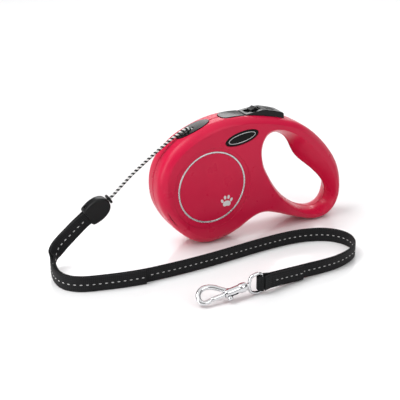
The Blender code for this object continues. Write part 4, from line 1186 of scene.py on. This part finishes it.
BARREL = [(0, 2.4), (0.15, 2.75), (0.5, 3), (1.4, 3.15), (2, 3.35), (2.5, 3.45), (4.6, 3.45), (5.1, 3.3),
          (5.6, 3.05), (5.9, 2.9), (6.4, 2.95), (7, 3), (15.4, 3), (16.2, 2.9), (16.8, 2.65),
          (17.2, 2.3)]
snap = loft("snap_cast", rod_rings(hook(1.4, 0), hook(18.6, 0), BARREL, 56), chrome)
ARM = [(12.5, 1.2), (16, 2.4), (19.2, 4.8), (22.8, 7.9), (27.2, 9.9), (31.8, 9.8), (35.4, 7.2),
       (36.9, 3.4), (36, 0.5), (33.2, -0.7), (29, 0)]
arm_line = open_curve([(u, v, 0.0) for u, v in ARM], 96)
arm_r = [1.55 + 0.35 * math.sin(math.pi * i / 95.0) for i in range(96)]
arm = loft("arm", sweep_rings([hook(u, v) for u, v, w in arm_line], [(c, s * 0.9) for c, s in circle(24)],
                              tuple(HW), arm_r), None)
carve(snap, [arm], "UNION")
carve(snap, [
    rod("cut_bore", hook(8.6, 0), hook(29.8, 0), 1.95, None, 32),
    loft("cut_seat", rod_rings(hook(-1, 0), hook(9.2, 0),
                               [(0, 1.7), (5.0, 1.7), (5.1, 2.3), (10.2, 2.3)], 40), None),
    box_on("cut_thumb_slot", hook, (9.4, 17.4), (-6, 0), (-1.15, 1.15)),
])
crisp(snap.data, 32.0)
stand_for(snap, "snap", "snap_body")
BOLT = [(0, 1.3), (0.1, 1.5), (0.35, 1.6), (12.6, 1.6), (13.1, 1.5), (13.4, 1.2)]
bolt = loft("snap_bolt_turned", rod_rings(hook(15.6, 0), hook(29.0, 0), BOLT, 32), chrome)
THUMB = [(0, 0.85), (3.1, 0.85), (3.3, 1.2), (3.4, 1.75), (3.6, 1.92), (4.5, 1.92), (5, 1.75), (5.35, 1.4),
         (5.6, 0.9)]
carve(bolt, [loft("thumb", rod_rings(hook(16.2, 0), hook(16.2, -5.6), THUMB, 32), None)], "UNION")
crisp(bolt.data, 35.0)
stand_for(bolt, "bolt", "snap_bolt")

# ---------------------------------------------------------------- the nodes that stay, in finished materials
grey = plastic("reel_grey", (0.3, 0.3, 0.31), 0.5, (1100.0, 0.02), vary=0.1, edge=0.3)
dark = plastic("lever_grey", (0.1, 0.1, 0.105), 0.45, (1200.0, 0.015), vary=0.1, edge=0.25)
wire_steel = metal("spring_wire", (0.55, 0.55, 0.57), 0.25, 900.0, 0.004)
temper = metal("blued_strip", (0.28, 0.3, 0.36), 0.28, 500.0, 0.004, brush=(1.0, 8.0, 1.0))


def wound_braid(name):
    """Cord wound on the reel: turns side by side, with the same dark and light flecks."""
    mat, tree, bsdf = start_material(name, cord_black, 0.8)
    parts = tree.nodes.new("ShaderNodeSeparateXYZ")
    tree.links.new(tree.nodes.new("ShaderNodeTexCoord").outputs["Object"], parts.inputs["Vector"])
    x_off = math_node(tree, "ADD", parts.outputs["X"], -REEL[0] * MM)
    z_off = math_node(tree, "ADD", parts.outputs["Z"], -REEL[1] * MM)
    angle = math_node(tree, "ARCTAN2", z_off, x_off)
    turns = wave(tree, parts.outputs["Y"], CORD_D * MM)
    slanted = math_node(tree, "MULTIPLY_ADD", parts.outputs["Y"], 900.0, angle)
    is_light = math_node(tree, "GREATER_THAN", wave(tree, slanted, 2 * math.pi / 40), 0.5)
    feed(bsdf, "Base Color", blend_colours(tree, is_light, cord_black, cord_white))
    feed(bsdf, "Roughness", span(tree, noise(tree, 900.0), 0.65, 0.9))
    bump(tree, bsdf, turns, 0.5, 0.9)
    return mat


for mat, nodes in (
        (grey, ("reel",)), (dark, ("spring_cover", "brake_lever")),
        (wound_braid("wound_braid"), ("wound_cord",)),
        (steel, ("axle", "spring_arbor", "pivot_pin", "screw_neck", "screw_tail")), (temper, ("mainspring",)),
        (wire_steel, ("button_spring", "bolt_spring"))):
    for node in nodes:
        repaint(node, mat)
